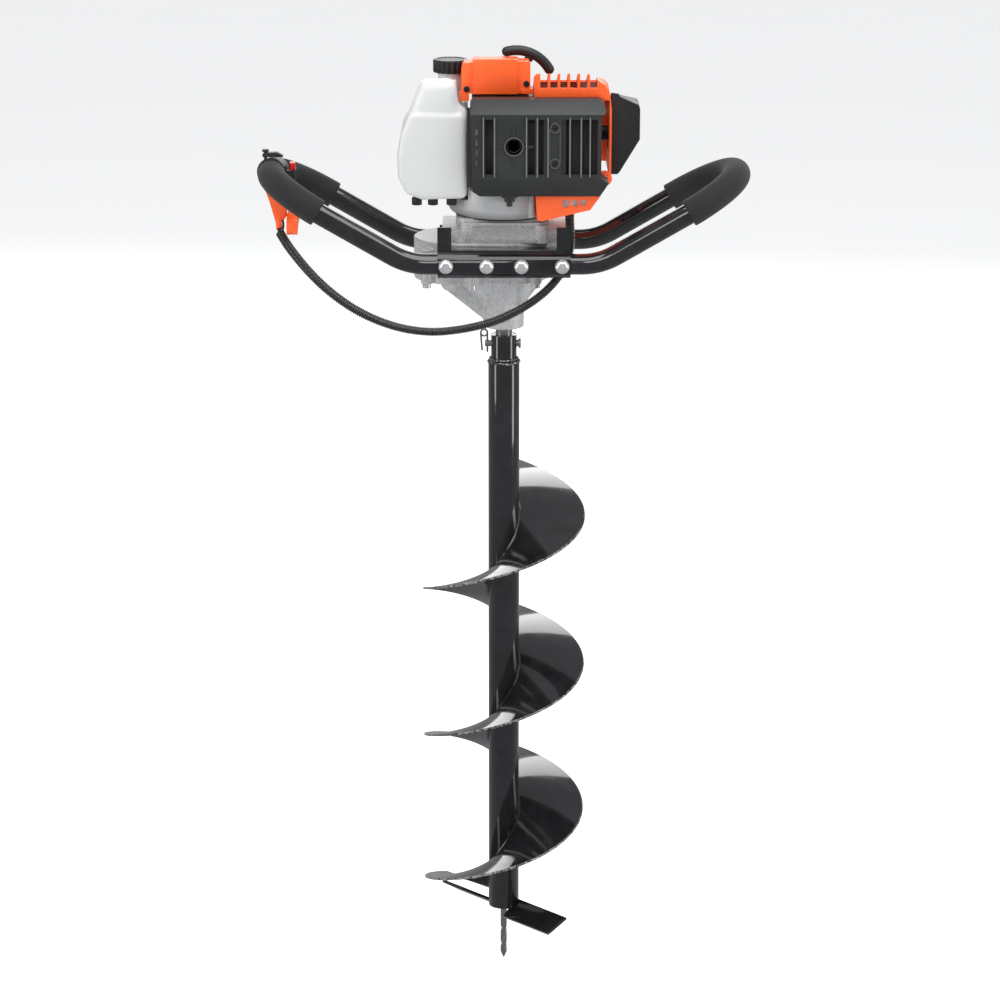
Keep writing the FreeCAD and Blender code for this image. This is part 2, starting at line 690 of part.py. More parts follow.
def starter_solid(inset):
    """The recoil housing's outer form, or its inside when inset: the back corner is cut off for the fuel cap."""
    body = inset_prism_y(starter_profile, -42 + inset, 40 - inset, inset)
    body = body.fuse(inset_prism_y(starter_front, -42 + inset, -13 - inset, inset))
    plan = [(-50, -42), (31, -42), (31, 40), (-22, 40), (-50, 0)]
    corner = prism_z(plan, 1050, 1100)
    if inset:
        plan = [(-60, -10), (-50 + inset, -1), (-22 + inset, 39), (-22, 50), (-60, 50)]
        corner = corner.cut(prism_z(plan, 1049, 1101))
    roof = prism_x([(-13 - inset, 1096 - inset), (-13 - inset, 1091.5 - inset), (45, 1075 - inset), (45, 1110),
                    (-13 - inset, 1110)], -60, 40)
    return body.common(corner).cut(roof)


def make_starter_housing():
    """Recoil housing: a shell over the rope pulley with a sloped rope outlet."""
    floor = block(-47.5, 28.5, -39.5, 37.5, 1055, 1060).common(starter_solid(2.5).fuse(
        block(-47.5, 28.5, -39.5, 0, 1050, 1062)).fuse(block(-20, 28.5, 0, 37.5, 1050, 1062)))
    feet = [block(-52.3, -41, -44, -34, 1046.5, 1058), block(20, 34, -44, -34, 1055, 1061)]
    feet.append(prism_y(starter_panel, -45, -40.5))
    shell = starter_solid(0).cut(starter_solid(2.5)).cut(floor)
    outlet = rod((21.9, 0, 1068.5), (31.5, 0, 1095.8), 3.3)
    pivot = cylinder(5, 1077, 1086, 0, 0)
    return fuse([fuse([shell] + feet).cut(outlet), pivot])


def make_starter_pulley():
    """Rope pulley: a groove between a wide lower flange and a narrow upper one."""
    drum = ring(20.5, 4, 1065, 1076)
    return fuse([drum, ring(26, 4, 1065, 1068)])


def make_starter_rope():
    """The rope's turns on the pulley and its free run up to the handle."""
    coil = ring(24.5, 20.9, 1068.4, 1072.6)
    run = rod((22.6, 0, 1070.5), (30, 0, 1091.5), 1.8)
    return fuse([coil, run])


def make_pull_handle():
    """Arched bar handle with a hollow stem that points down the rope."""
    left, middle, right = (V(x, 0, z) for x, z in handle_arch)
    wire = Part.Wire([Part.Arc(left, middle, right).toShape()])
    bar = sweep_round(wire, handle_bar_radius)
    up = V(*pull_direction)
    tips = [Part.makeSphere(handle_bar_radius, left), Part.makeSphere(handle_bar_radius, right)]
    stem = rod(tuple(middle), tuple(middle - up * 9), 5)
    hole = rod(tuple(middle - up * 30), tuple(middle - up * 1.5), 2.9)
    return fuse([bar, stem] + tips).cut(hole)


# ---------------------------------------------------------------- orange covers
cover_outline = [(35, 1046), (35, 1074), (38, 1081), (97, 1081.5), (118.5, 1067.5), (124, 1057), (126, 1040),
                 (126, 957), (35, 962)]


def cover_solid(inset):
    """The shroud's outer form, or its inside when inset: the roof falls away to the back."""
    body = inset_prism_y(cover_outline, -62 + inset, 62 - inset, inset)
    roof = prism_x([(-62, 1081.5 - inset), (64, 1045 - inset), (64, 1100), (-62, 1100)], 20, 140)
    return body.cut(roof)


def make_cylinder_cover():
    """Air shroud over the cylinder: slatted top and front, closed right side and back."""
    shell = cover_solid(0).cut(cover_solid(2.5)).cut(block(37.5, 123.5, -59.5, 59.5, 950, 980))
    front_open = block(30, 123.5, -70, -50, 950, 1050)
    back_open = block(30, 112, 50, 70, 950, 1042)
    left_open = block(30, 40, -70, 70, 950, 1042)
    slots = []
    for index in range(6):
        x = 42.4 + 11.6 * index
        slots.append(block(x, x + 8.4, -63, -8, 1064.5, 1083))
    boot_hole = block(122, 128, -20, 20, crank_level - 20, crank_level + 22)
    body = cut_all(shell, [front_open, back_open, left_open, boot_hole] + slots)
    ear = rod((118, -63.8, 958), (118, -59.5, 958), 9).cut(rod((118, -70, 958), (118, -50, 958), 3.5))
    stay = block(114, 126, -62, -59.5, 958, 966)
    return fuse([body, ear, stay.cut(rod((118, -70, 958), (118, -50, 958), 3.5))])


duct_profile = [(36.9, 939.5), (39, 910), (44, 908.5), (101.5, 922), (114, 939.5)]


def make_lower_duct():
    """Lower air duct: a shallow tray from the fan case out to the cylinder's underside."""
    outer = prism_y(duct_profile, -72, 62)
    room = prism_y([(39.4, 940), (41.4, 912), (44, 911.2), (100.5, 924.5), (111, 940)], -69.5, 59.5)
    fan_room = cylinder(fan_radius + 0.4, 900, 950)
    conduit_hole = cylinder(6.2, 890, 950, 77, -62)
    slots = [block(68.5 + 10.5 * i, 76 + 10.5 * i, -73, -69, 925.5 + i, 934) for i in range(3)]
    rear_room = block(30, 120, -55, 70, 931.5, 945)
    riser = prism_y([(104, 936), (112, 936), (121.5, 949), (113.5, 949)], -62.2, -59.7)
    body = cut_all(outer, [room, fan_room, conduit_hole, rear_room] + slots).Solids[0]
    return body.fuse(riser).removeSplitter()


plug_cover_profile = [(126, 957.5), (134.5, 957.5), (137.5, 961), (160.5, 999), (160.5, 1035), (158.5, 1040),
                      (137, 1049.5), (134.5, 1053), (126, 1054.5)]
plug_cover_room = [(120, 960), (133.5, 960), (135.5, 962.5), (158, 1000), (158, 1034), (156.8, 1038), (136, 1047),
                   (133, 1050.5), (120, 1052)]


def make_plug_cover():
    """Cap over the spark plug boot: its roof falls away to the back."""
    outer = prism_y(plug_cover_profile, -32, 32)
    room = prism_y(plug_cover_room, -29.5, 29.5)
    roof = prism_x([(-33, 1054.8), (34, 1035.4), (34, 1070), (-33, 1070)], 120, 170)
    ceiling = prism_x([(-33, 1052.2), (34, 1032.8), (34, 1070), (-33, 1070)], 110, 170)
    return outer.cut(roof).cut(room.cut(ceiling))


# ---------------------------------------------------------------- handles
def loop_point(angle, offset=0.0):
    """Point of the left loop's end bend: angle 0 at the front leg, 90 at the outermost point."""
    reach = handle_y * sin(radians(angle))
    x = -loop_start_x - reach * cos(radians(kink_angle))
    z = loop_level() + reach * sin(radians(kink_angle))
    return V(x, -handle_y * cos(radians(angle)), z)


def loop_level():
    return handle_z + (loop_start_x - kink_x) * tan(radians(kink_angle))


def leg_point(distance, side):
    """Point on a rising leg, measured back from the end bend along the leg."""
    x = -loop_start_x + distance * cos(radians(kink_angle))
    z = loop_level() - distance * sin(radians(kink_angle))
    return V(x, side * handle_y, z)


def loop_path():
    """Centre line of the left loop from its front inner end to its rear inner end."""
    tangent = kink_radius * tan(radians(kink_angle / 2))
    turn = radians(kink_angle)
    edges = []
    for side in (-1, 1):
        inner = V(-1, side * handle_y, handle_z)
        bend_in = V(-kink_x + tangent, side * handle_y, handle_z)
        middle = V(bend_in.x - kink_radius * sin(turn / 2), side * handle_y,
                   handle_z + kink_radius * (1 - cos(turn / 2)))
        bend_out = V(bend_in.x - kink_radius * sin(turn), side * handle_y,
                     handle_z + kink_radius * (1 - cos(turn)))
        leg_end = leg_point(0, side)
        run = [Part.LineSegment(inner, bend_in), Part.Arc(bend_in, middle, bend_out),
               Part.LineSegment(bend_out, leg_end)]
        edges.append(run)
    bend = Part.Arc(leg_point(0, -1), loop_point(90), leg_point(0, 1))
    rear = [Part.LineSegment(s.EndPoint, s.StartPoint) if isinstance(s, Part.LineSegment) else s
            for s in reversed(edges[1])]
    shapes = [s.toShape() for s in edges[0]] + [bend.toShape()] + [s.toShape() for s in rear]
    return Part.Wire(Part.__sortEdges__(shapes))


def sweep_round(wire, radius):
    start = wire.OrderedVertexes[0].Point
    first = wire.OrderedEdges[0]
    along = first.tangentAt(first.FirstParameter)
    circle = Part.Wire(Part.makeCircle(radius, start, along))
    return wire.makePipeShell([circle], True, False)


def make_handle_tube():
    path = loop_path()
    tube = sweep_round(path, handle_radius).cut(sweep_round(path, handle_radius - handle_wall))
    for x in clamp_bolt_x[:2]:
        for side in (-1, 1):
            tube = tube.cut(rod((x, side * 95, handle_z), (x, side * 55, handle_z), 4))
    return tube


def grip_path(start_angle, end_angle, before=0.0, after=0.0):
    shapes = []
    if before:
        shapes.append(Part.LineSegment(leg_point(before, -1), leg_point(0, -1)).toShape())
    middle = loop_point((start_angle + end_angle) / 2)
    shapes.append(Part.Arc(loop_point(start_angle), middle, loop_point(end_angle)).toShape())
    if after:
        shapes.append(Part.LineSegment(leg_point(0, 1), leg_point(after, 1)).toShape())
    return Part.Wire(shapes)


def make_grip_piece(path):
    return sweep_round(path, grip_radius).cut(sweep_round(loop_path(), handle_radius))


def make_left_grip():
    """Foam sleeve in two lengths, one on each side of the throttle housing."""
    front = make_grip_piece(grip_path(5, 86))
    rear = make_grip_piece(grip_path(119.5, 180, after=7))
    return Part.makeCompound([front, rear])


def make_right_grip():
    return mirrored_x(make_grip_piece(grip_path(4, 180, after=12)))


def make_clamps():
    """Pressed plates over both tubes, with a shelf and a bottom lip; the front one also has ears."""
    inner_y = -77.0
    outer_y = inner_y - clamp_thickness
    left_end = (-clamp_half, -handle_y, handle_z)
    right_end = (clamp_half, -handle_y, handle_z)
    shell = rod(left_end, right_end, handle_radius + clamp_thickness)
    shell = shell.cut(rod((-90, -handle_y, handle_z), (90, -handle_y, handle_z), handle_radius))
    shell = shell.cut(block(-90, 90, inner_y, -40, 800, 900))
    lip = block(-clamp_half, clamp_half, outer_y, inner_y, 842.5, 845.6)
    band = block(-clamp_half, clamp_half, outer_y, inner_y, 870.4, 875)
    right_ear = block(62, clamp_half, outer_y, inner_y, 874, 902.5)
    left_ear = block(-clamp_half, -62, outer_y, inner_y, 874, 902.5)
    shelf = rounded_box(-62, 62, outer_y, -56, 872.3, 875, 6)
    plate = fuse([shell, lip, band, shelf])
    for x in clamp_bolt_x:
        plate = plate.cut(rod((x, -95, handle_z), (x, -60, handle_z), 4))
    return Part.makeCompound([fuse([plate, right_ear, left_ear]), mirrored_y(plate)])


def make_clamp_bolts():
    """Flange bolts: the inner ones reach the gear case, the outer ones thread into the tube."""
    bolts = []
    face = handle_y + handle_radius + clamp_thickness
    for x in clamp_bolt_x:
        depth = 50.0 if abs(x) < 40 else handle_y - handle_radius
        flange = rod((x, -face, handle_z), (x, -face - 1.8, handle_z), 8.7)
        corners = [(x + 7.4 * cos(radians(60 * i)), handle_z + 7.4 * sin(radians(60 * i))) for i in range(6)]
        head = prism_y(corners, -face - 7, -face - 1.8)
        dimple = rod((x, -face - 8, handle_z), (x, -face - 6, handle_z), 4.5)
        shank = rod((x, -face, handle_z), (x, -depth, handle_z), 4)
        bolt = fuse([flange, head.cut(dimple), shank])
        bolts += [bolt, mirrored_y(bolt)]
    return Part.makeCompound(bolts)


# ---------------------------------------------------------------- throttle control
control_angle = 102.0
pivot_y = 27.0
pivot_z = 897.0


def control_frame():
    centre = loop_point(control_angle)
    ahead = loop_point(control_angle + 1) - loop_point(control_angle - 1)
    return centre, ahead.normalize()


def make_throttle_housing():
    """Split housing clamped on the tube, tapering down to the cable outlet."""
    centre, along = control_frame()
    collar = Part.makeCylinder(17.2, 26, centre - along * 13, along)
    side = [(-291, 946), (-262, 946), (-260.5, 925), (-260.5, 912), (-262, 898), (-273, 889), (-281, 918)]
    skirt = prism_y(side, 3, 28)
    pin = rod((-263, pivot_y, pivot_z), (-246, pivot_y, pivot_z), 2)
    outlet = rod((-271, 6, 900), (-269.5, -3, 886), 3.6)
    lock_stud = rod((-285, 9.5, 960), (-285, 9.5, 977.5), 2)
    stud_head = rod((-285, 9.5, 977.4), (-285, 9.5, 980.2), 4)
    body = fuse([collar, skirt, pin, lock_stud, stud_head])
    bore = sweep_round(loop_path(), handle_radius)
    hollow = prism_y([(-280, 930), (-268, 930), (-266, 902), (-272, 899), (-277, 918)], 6, 25)
    return fuse([body.cut(bore).cut(hollow), outlet.cut(hollow)])


def make_throttle_trigger():
    """Finger lever below the grip: it swings up towards the tube."""
    profile = [(pivot_y + 5, pivot_z + 4), (pivot_y - 2, pivot_z + 8), (-12, pivot_z + 6), (-19, pivot_z + 2),
               (-22.5, pivot_z - 5), (-21.5, pivot_z - 12), (-16, pivot_z - 15.5), (-7, pivot_z - 14),
               (8, pivot_z - 8), (pivot_y + 4, pivot_z - 5)]
    lever = prism_x(profile, -259.6, -247)
    return lever.cut(rod((-270, pivot_y, pivot_z), (-240, pivot_y, pivot_z), 2.06))


def make_switch_box():
    """Black switch holder on the housing's inner side."""
    centre, along = control_frame()
    box = rounded_box(-260.3, -249.5, 3, 29, 930, 955.5, 2)
    collar = Part.makeCylinder(17.3, 70, centre - along * 35, along)
    return cut_all(box, [collar, block(-258, -252, 6.2, 25.8, 949.5, 960)])


def make_kill_switch():
    """Slide switch that sits in the holder's slot."""
    foot = block(-256.3, -252.5, 7, 19, 950, 956)
    cap = rounded_box(-256.3, -249.7, 7, 19, 955.9, 964, 2)
    return fuse([foot, cap])


def make_throttle_lock():
    """Lock lever over the collar with its pivot screw."""
    side = [(-288.5, 971.2), (-264, 971.2), (-264, 973), (-271, 977), (-282, 976.5), (-288.5, 975)]
    arm = prism_y(side, 5.5, 13.5)
    return arm.cut(rod((-285, 9.5, 960), (-285, 9.5, 980), 2.06))


# ---------------------------------------------------------------- throttle conduit
conduit_radius = 5.5
conduit_route = [
    (-268, -8.5, 882), (-260, -20.5, 871.5), (-250, -30.5, 860.5), (-236, -41, 845.5),
    (-219, -51, 830), (-200.5, -60, 816), (-179.5, -68, 803), (-157, -74.5, 792.5),
    (-132, -79, 784), (-107, -81.5, 779), (-79.5, -82, 777), (-44, -80, 781),
    (-12, -75, 788), (16, -68, 799.5), (41, -60.5, 814), (61, -54.5, 832),
    (74, -52.5, 853), (79, -53, 876), (78, -57.5, 896), (77, -62, 920)]


def route_wire(route):
    """Straight runs joined by tangent arcs, and the arcs' radii."""
    points = [V(*p) for p in route]
    shapes = []
    radii = []
    here = points[0]
    for before, corner, after in zip(points, points[1:], points[2:]):
        into = (corner - before).normalize()
        out = (after - corner).normalize()
        turn = acos(max(-1.0, min(1.0, into.dot(out))))
        reach = 0.45 * min((corner - before).Length, (after - corner).Length)
        radius = reach / tan(turn / 2)
        start = corner - into * reach
        end = corner + out * reach
        inward = (out - into).normalize()
        middle = corner + inward * (radius / cos(turn / 2) - radius)
        shapes.append(Part.LineSegment(here, start).toShape())
        shapes.append(Part.Arc(start, middle, end).toShape())
        radii.append(radius)
        here = end
    shapes.append(Part.LineSegment(here, points[-1]).toShape())
    return Part.Wire(shapes), radii


def make_cord(name, route, radius):
    wire, radii = route_wire(route)
    solid = sweep_round(wire, radius)
    expected = pi * radius ** 2 * wire.Length
    print(f"{name}: length {wire.Length:.1f}, radii {[round(r) for r in radii]},",
          f"volume {solid.Volume:.0f} of {expected:.0f}")
    return solid


# ---------------------------------------------------------------- write every node
os.makedirs("parts", exist_ok=True)
left_tube = make_handle_tube()
parts = {
    "pilot_point": make_pilot,
    "cutter_blades": make_blades,
    "auger_flight": make_flight,
    "auger_tube": make_auger_tube,
    "hitch_pin": make_hitch_pin,
    "hitch_clip": make_hitch_clip,
    "output_shaft": make_output_shaft,
    "output_gear": make_output_gear,
    "counter_shaft": make_counter_shaft,
    "counter_gear": make_counter_gear,
    "clutch_drum": make_clutch_drum,
    "clutch_shoe_right": lambda: make_shoe(1),
    "clutch_shoe_left": lambda: make_shoe(-1),
    "gearbox_lower_case": make_lower_case,
    "gearbox_upper_case": make_upper_case,
    "gearbox_bearings": make_bearings,
    "output_seal": make_output_seal,
    "case_screws": make_case_screws,
    "clutch_housing": make_clutch_housing,
    "fan_case": make_fan_case,
    "flywheel": make_flywheel,
    "crankcase": make_crankcase,
    "crankshaft": make_crankshaft,
    "connecting_rod": make_connecting_rod,
    "piston": make_piston,
    "cylinder": make_cylinder,
    "spark_plug": make_spark_plug,
    "plug_boot": make_plug_boot,
    "muffler": make_muffler,
    "muffler_cover": make_muffler_cover,
    "carburettor": make_carburettor,
    "carburettor_lever": make_carburettor_lever,
    "air_filter_case": make_air_filter_case,
    "air_filter_element": make_air_filter_element,
    "air_filter_cover": make_air_filter_cover,
    "choke_lever": make_choke_lever,
    "primer_bulb": make_primer_bulb,
    "fuel_tank": make_tank,
    "tank_feet": make_tank_feet,
    "fuel_cap_seal": make_cap_seal,
    "fuel_cap": make_fuel_cap,
    "starter_housing": make_starter_housing,
    "starter_pulley": make_starter_pulley,
    "starter_rope": make_starter_rope,
    "pull_handle": make_pull_handle,
    "cylinder_cover": make_cylinder_cover,
    "lower_duct": make_lower_duct,
    "plug_cover": make_plug_cover,
    "left_handle_tube": lambda: left_tube,
    "right_handle_tube": lambda: mirrored_x(left_tube),
    "left_grip": make_left_grip,
    "right_grip": make_right_grip,
    "handle_clamps": make_clamps,
    "clamp_bolts": make_clamp_bolts,
    "throttle_housing": make_throttle_housing,
    "throttle_trigger": make_throttle_trigger,
    "switch_box": make_switch_box,
    "kill_switch": make_kill_switch,
    "throttle_lock": make_throttle_lock,
    "throttle_conduit": lambda: make_cord("throttle_conduit", conduit_route, conduit_radius),
}
for node, make in parts.items():
    save(node, make())
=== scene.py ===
import math
import bmesh
import bpy
from mathutils import Matrix, Vector


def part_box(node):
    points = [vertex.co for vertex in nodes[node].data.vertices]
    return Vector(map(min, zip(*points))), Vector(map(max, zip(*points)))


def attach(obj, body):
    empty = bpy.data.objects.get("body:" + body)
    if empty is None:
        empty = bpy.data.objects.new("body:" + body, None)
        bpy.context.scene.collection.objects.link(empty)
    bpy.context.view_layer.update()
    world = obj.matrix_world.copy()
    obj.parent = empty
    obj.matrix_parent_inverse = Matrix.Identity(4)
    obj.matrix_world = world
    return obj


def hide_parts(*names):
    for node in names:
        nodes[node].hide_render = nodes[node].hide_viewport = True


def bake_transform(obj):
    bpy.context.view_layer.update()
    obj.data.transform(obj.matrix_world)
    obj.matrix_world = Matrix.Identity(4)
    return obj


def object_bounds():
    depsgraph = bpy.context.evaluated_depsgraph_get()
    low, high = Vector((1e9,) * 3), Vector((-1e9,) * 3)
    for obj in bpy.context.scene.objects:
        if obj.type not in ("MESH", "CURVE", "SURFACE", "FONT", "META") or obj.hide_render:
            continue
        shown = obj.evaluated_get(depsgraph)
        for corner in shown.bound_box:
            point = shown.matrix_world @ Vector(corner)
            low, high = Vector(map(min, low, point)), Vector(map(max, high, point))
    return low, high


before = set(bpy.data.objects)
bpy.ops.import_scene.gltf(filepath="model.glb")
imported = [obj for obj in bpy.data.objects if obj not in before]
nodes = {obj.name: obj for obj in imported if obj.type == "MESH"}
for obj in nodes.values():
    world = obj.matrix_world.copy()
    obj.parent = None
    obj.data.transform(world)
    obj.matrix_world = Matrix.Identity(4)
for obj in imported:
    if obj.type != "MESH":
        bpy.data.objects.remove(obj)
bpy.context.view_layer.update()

print("frame loaded:", len(nodes), "CAD nodes")

# ---- camera, floor and lights ----
view = {"target": (-0.0047, 0.0, 0.547), "distance": 4.0, "tilt": 15.95, "lens": 117.2}


def addCamera():
    tilt = math.radians(view["tilt"])
    target = Vector(view["target"])
    data = bpy.data.cameras.new("viewCamera")
    data.lens = view["lens"]
    data.sensor_width = 36.0
    data.clip_end = 100.0
    camera = bpy.data.objects.new("viewCamera", data)
    camera.location = target + view["distance"] * Vector((0, -math.cos(tilt), math.sin(tilt)))
    camera.rotation_euler = (math.pi / 2 - tilt, 0, 0)
    bpy.context.scene.collection.objects.link(camera)
    bpy.context.scene.camera = camera


studio = {
    "world": (0.95, 0.97, 1.0), "worldStrength": 0.34, "worldSeen": 0.84,
    "boxes": [  # name, place, aimed at, width, height, watts
        ("topBox", (0.2, -0.6, 3.0), (0, 0, 0.5), 2.2, 2.2, 62),
        ("backBox", (0.4, 3.4, 2.3), (0, 0, 0.6), 4.2, 1.7, 60),
        ("leftStrip", (-2.6, -1.2, 1.5), (0, 0, 0.7), 0.7, 2.4, 26),
        ("rightStrip", (2.6, -0.9, 1.3), (0, 0, 0.6), 0.8, 2.4, 30),
        ("frontFill", (-0.6, -3.6, 2.9), (0, 0, 0.9), 1.4, 1.0, 24),
    ],
}


def addLights():
    world = bpy.data.worlds.new("studioWorld")
    world.use_nodes = True
    sky = world.node_tree.nodes["Background"]
    sky.inputs["Color"].default_value = (*studio["world"], 1)
    seen = world.node_tree.nodes.new("ShaderNodeLightPath")
    level = world.node_tree.nodes.new("ShaderNodeMapRange")  # pale behind the floor, softer as a light
    level.inputs["To Min"].default_value = studio["worldStrength"]
    level.inputs["To Max"].default_value = studio["worldSeen"]
    world.node_tree.links.new(seen.outputs["Is Camera Ray"], level.inputs["Value"])
    world.node_tree.links.new(level.outputs["Result"], sky.inputs["Strength"])
    bpy.context.scene.world = world
    for name, place, aim, wide, high, watts in studio["boxes"]:
        data = bpy.data.lights.new(name, "AREA")
        data.shape = "RECTANGLE"
        data.size = wide
        data.size_y = high
        data.energy = watts
        lamp = bpy.data.objects.new(name, data)
        lamp.location = place
        lamp.rotation_euler = (Vector(aim) - Vector(place)).to_track_quat("-Z", "Y").to_euler()
        lamp.visible_camera = False
        bpy.context.scene.collection.objects.link(lamp)


bpy.context.scene.view_settings.view_transform = "Standard"
addCamera()
addLights()
print("camera and lights placed")


# ---- node wiring: a wire is one socket of a node tree ----
class Wire:
    def __init__(self, tree, socket=None):
        self.tree = tree
        self.socket = socket

    def node(self, kind, settings=None, values=None, out=0):
        made = self.tree.nodes.new(kind)
        for name, value in (settings or {}).items():
            if name == "stops":
                self.setStops(made.color_ramp, value)
            else:
                setattr(made, name, value)
        for key, value in (values or {}).items():
            if isinstance(value, Wire):
                self.tree.links.new(value.socket, made.inputs[key])
            else:
                made.inputs[key].default_value = value
        return Wire(self.tree, made.outputs[out]) if made.outputs else made

    @staticmethod
    def setStops(ramp, stops):
        while len(ramp.elements) < len(stops):
            ramp.elements.new(0.5)
        for element, (place, colour) in zip(ramp.elements, stops):
            element.position = place
            element.color = colour if isinstance(colour, tuple) else (colour, colour, colour, 1)

    def also(self, name):
        return Wire(self.tree, self.socket.node.outputs[name])

    def math(self, operation, first, second=0.0):
        return self.node("ShaderNodeMath", {"operation": operation}, {0: first, 1: second})

    def __add__(self, other):
        return self.math("ADD", self, other)

    def __sub__(self, other):
        return self.math("SUBTRACT", self, other)

    def __mul__(self, other):
        return self.math("MULTIPLY", self, other)

    def __truediv__(self, other):
        return self.math("DIVIDE", self, other)

    def __pow__(self, other):
        return self.math("POWER", self, other)

    def __rsub__(self, other):
        return self.math("SUBTRACT", other, self)

    def __rtruediv__(self, other):
        return self.math("DIVIDE", other, self)

    __radd__ = __add__
    __rmul__ = __mul__

    def fade(self, low, high, start=0.0, end=1.0):
        return self.node("ShaderNodeMapRange", {"clamp": True},
                         {"Value": self, "From Min": low, "From Max": high, "To Min": start, "To Max": end})

    def tint(self, dark, light):
        return self.node("ShaderNodeMix", {"data_type": "RGBA"},
                         {0: self, 6: (*dark, 1) if isinstance(dark, tuple) else dark,
                          7: (*light, 1) if isinstance(light, tuple) else light}, 2)


# ---- materials ----
finishes = {}


def noise(place, scale, detail=2.0, rough=0.5):
    return place.node("ShaderNodeTexNoise", None,
                      {"Vector": place, "Scale": scale, "Detail": detail, "Roughness": rough})


def bump(height, strength, distance, normal=None):
    values = {"Height": height, "Strength": strength, "Distance": distance}
    if normal:
        values["Normal"] = normal
    return height.node("ShaderNodeBump", None, values)


def finish(name, slot):
    def keep(paint):
        material = bpy.data.materials.new(name)
        material.use_nodes = True
        tree = material.node_tree
        tree.nodes.clear()
        place = Wire(tree).node("ShaderNodeTexCoord", out="Object")
        shader = place.node("ShaderNodeBsdfPrincipled", None, paint(place))
        place.node("ShaderNodeOutputMaterial", None, {"Surface": shader})
        finishes[name] = (material, slot)
        return paint
    return keep


def stretched(place, scale):
    return place.node("ShaderNodeVectorMath", {"operation": "MULTIPLY"}, {0: place, 1: scale})


def parts(place):
    return place.node("ShaderNodeSeparateXYZ", None, {0: place})


gloss = {"tone": (0.0065, 0.0068, 0.0075), "dust": (0.016, 0.0165, 0.018), "peel": 260, "rough": 0.085}


def glossPaint(place, shine=1.0, level=0.62, coat=0.7, ripple=1.0):
    dust = noise(place, 38, 5, 0.65).fade(0.35, 0.75)
    peel = noise(place, gloss["peel"], 1.5)
    wave = noise(place, 32, 1.0)
    rough = dust * 0.09 * shine + gloss["rough"] * shine
    return {"Base Color": dust.tint(gloss["tone"], gloss["dust"]), "Roughness": rough,
            "Normal": bump(wave, 0.05 * ripple, 0.004, bump(peel, 0.05 * ripple, 0.0007)),
            "Coat Weight": coat, "Coat Roughness": 0.04, "Specular IOR Level": level}


@finish("augerGloss", "black_gloss_steel")
def augerGloss(place):
    sockets = glossPaint(place)
    axis = parts(place)
    reach = (axis * axis + axis.also("Y") * axis.also("Y")) ** 0.5
    chips = noise(place, 240, 4, 0.7)
    rim = reach.fade(0.0978, 0.0998) * chips.fade(0.42, 0.6)
    steel = chips.tint((0.10, 0.10, 0.105), (0.33, 0.33, 0.34))
    sockets["Base Color"] = rim.tint(Wire(place.tree, sockets["Base Color"].socket), steel)
    sockets["Roughness"] = rim * 0.25 + sockets["Roughness"]
    return sockets


@finish("bladeGloss", "black_gloss_steel")
def bladeGloss(place):
    sockets = glossPaint(place)
    level = parts(place).also("Z")
    chips = noise(place, 300, 4, 0.7)
    edge = (level + chips * 0.002).fade(0.0034, 0.0022)
    scratches = noise(stretched(place, (1.0, 1.0, 14.0)), 160, 3)
    bare = scratches.tint((0.35, 0.35, 0.36), (0.62, 0.62, 0.63))
    sockets["Base Color"] = edge.tint(sockets["Base Color"], bare)
    sockets["Metallic"] = edge
    sockets["Roughness"] = edge * 0.2 + sockets["Roughness"]
    return sockets


@finish("tubeGloss", "black_gloss_steel")
def tubeGloss(place):
    return glossPaint(place, 0.8, 0.42, 0.6, 0.35)


@finish("plateGloss", "black_gloss_steel")
def plateGloss(place):
    return glossPaint(place, 1.1, 0.34, 0.35, 0.5)


@finish("weldMetal", "black_gloss_steel")
def weldMetal(place):
    sockets = glossPaint(place, 1.4, 0.7, 0.8)
    spatter = noise(place, 520, 3, 0.7).fade(0.52, 0.6)
    sockets["Base Color"] = spatter.tint(sockets["Base Color"], Wire(place.tree, spatter.socket).tint(
        (0.02, 0.02, 0.02), (0.72, 0.72, 0.71)))
    sockets["Metallic"] = spatter
    return sockets


@finish("turnedSteel", "bare_steel")
def turnedSteel(place):
    lines = noise(stretched(place, (1, 1, 30)), 55, 4)
    stain = noise(place, 70, 3)
    return {"Base Color": stain.tint((0.24, 0.24, 0.245), (0.42, 0.42, 0.415)), "Metallic": 1.0,
            "Roughness": lines * 0.22 + 0.2, "Normal": bump(lines, 0.12, 0.0003)}


@finish("scorchedSteel", "bare_steel")
def scorchedSteel(place):
    heat = noise(place, 34, 4, 0.6)
    scale = noise(place, 420, 3)
    return {"Base Color": heat.tint((0.018, 0.016, 0.015), (0.065, 0.052, 0.046)), "Metallic": 0.6,
            "Roughness": scale * 0.2 + 0.52, "Normal": bump(scale, 0.25, 0.0005)}


@finish("brightZinc", "zinc")
def brightZinc(place):
    cloud = noise(place, 160, 3)
    grain = noise(place, 1500, 2)
    return {"Base Color": cloud.tint((0.62, 0.63, 0.65), (0.80, 0.80, 0.79)), "Metallic": 0.78,
            "Roughness": cloud * 0.16 + 0.16, "Normal": bump(grain, 0.1, 0.0002)}


cast = {"dark": (0.15, 0.153, 0.157), "light": (0.66, 0.665, 0.67), "grain": 850, "pits": 330}


def castGrain(place, depth):
    grain = noise(place, cast["grain"], 3, 0.6)
    pits = noise(place, cast["pits"], 2)
    cloud = noise(place, 42, 4, 0.6)
    mark = pits.fade(0.28, 0.5)
    tone = (grain.fade(0.25, 0.62) * 0.55 + cloud * 0.25 + mark * 0.25)
    return {"Base Color": tone.tint(cast["dark"], cast["light"]), "Metallic": 0.5,
            "Roughness": 0.66 - grain * 0.28,
            "Normal": bump(grain, 0.42 * depth, 0.0008, bump(pits, 0.3 * depth, 0.0014))}


@finish("castAluminium", "cast_aluminium")
def castAluminium(place):
    return castGrain(place, 1.0)


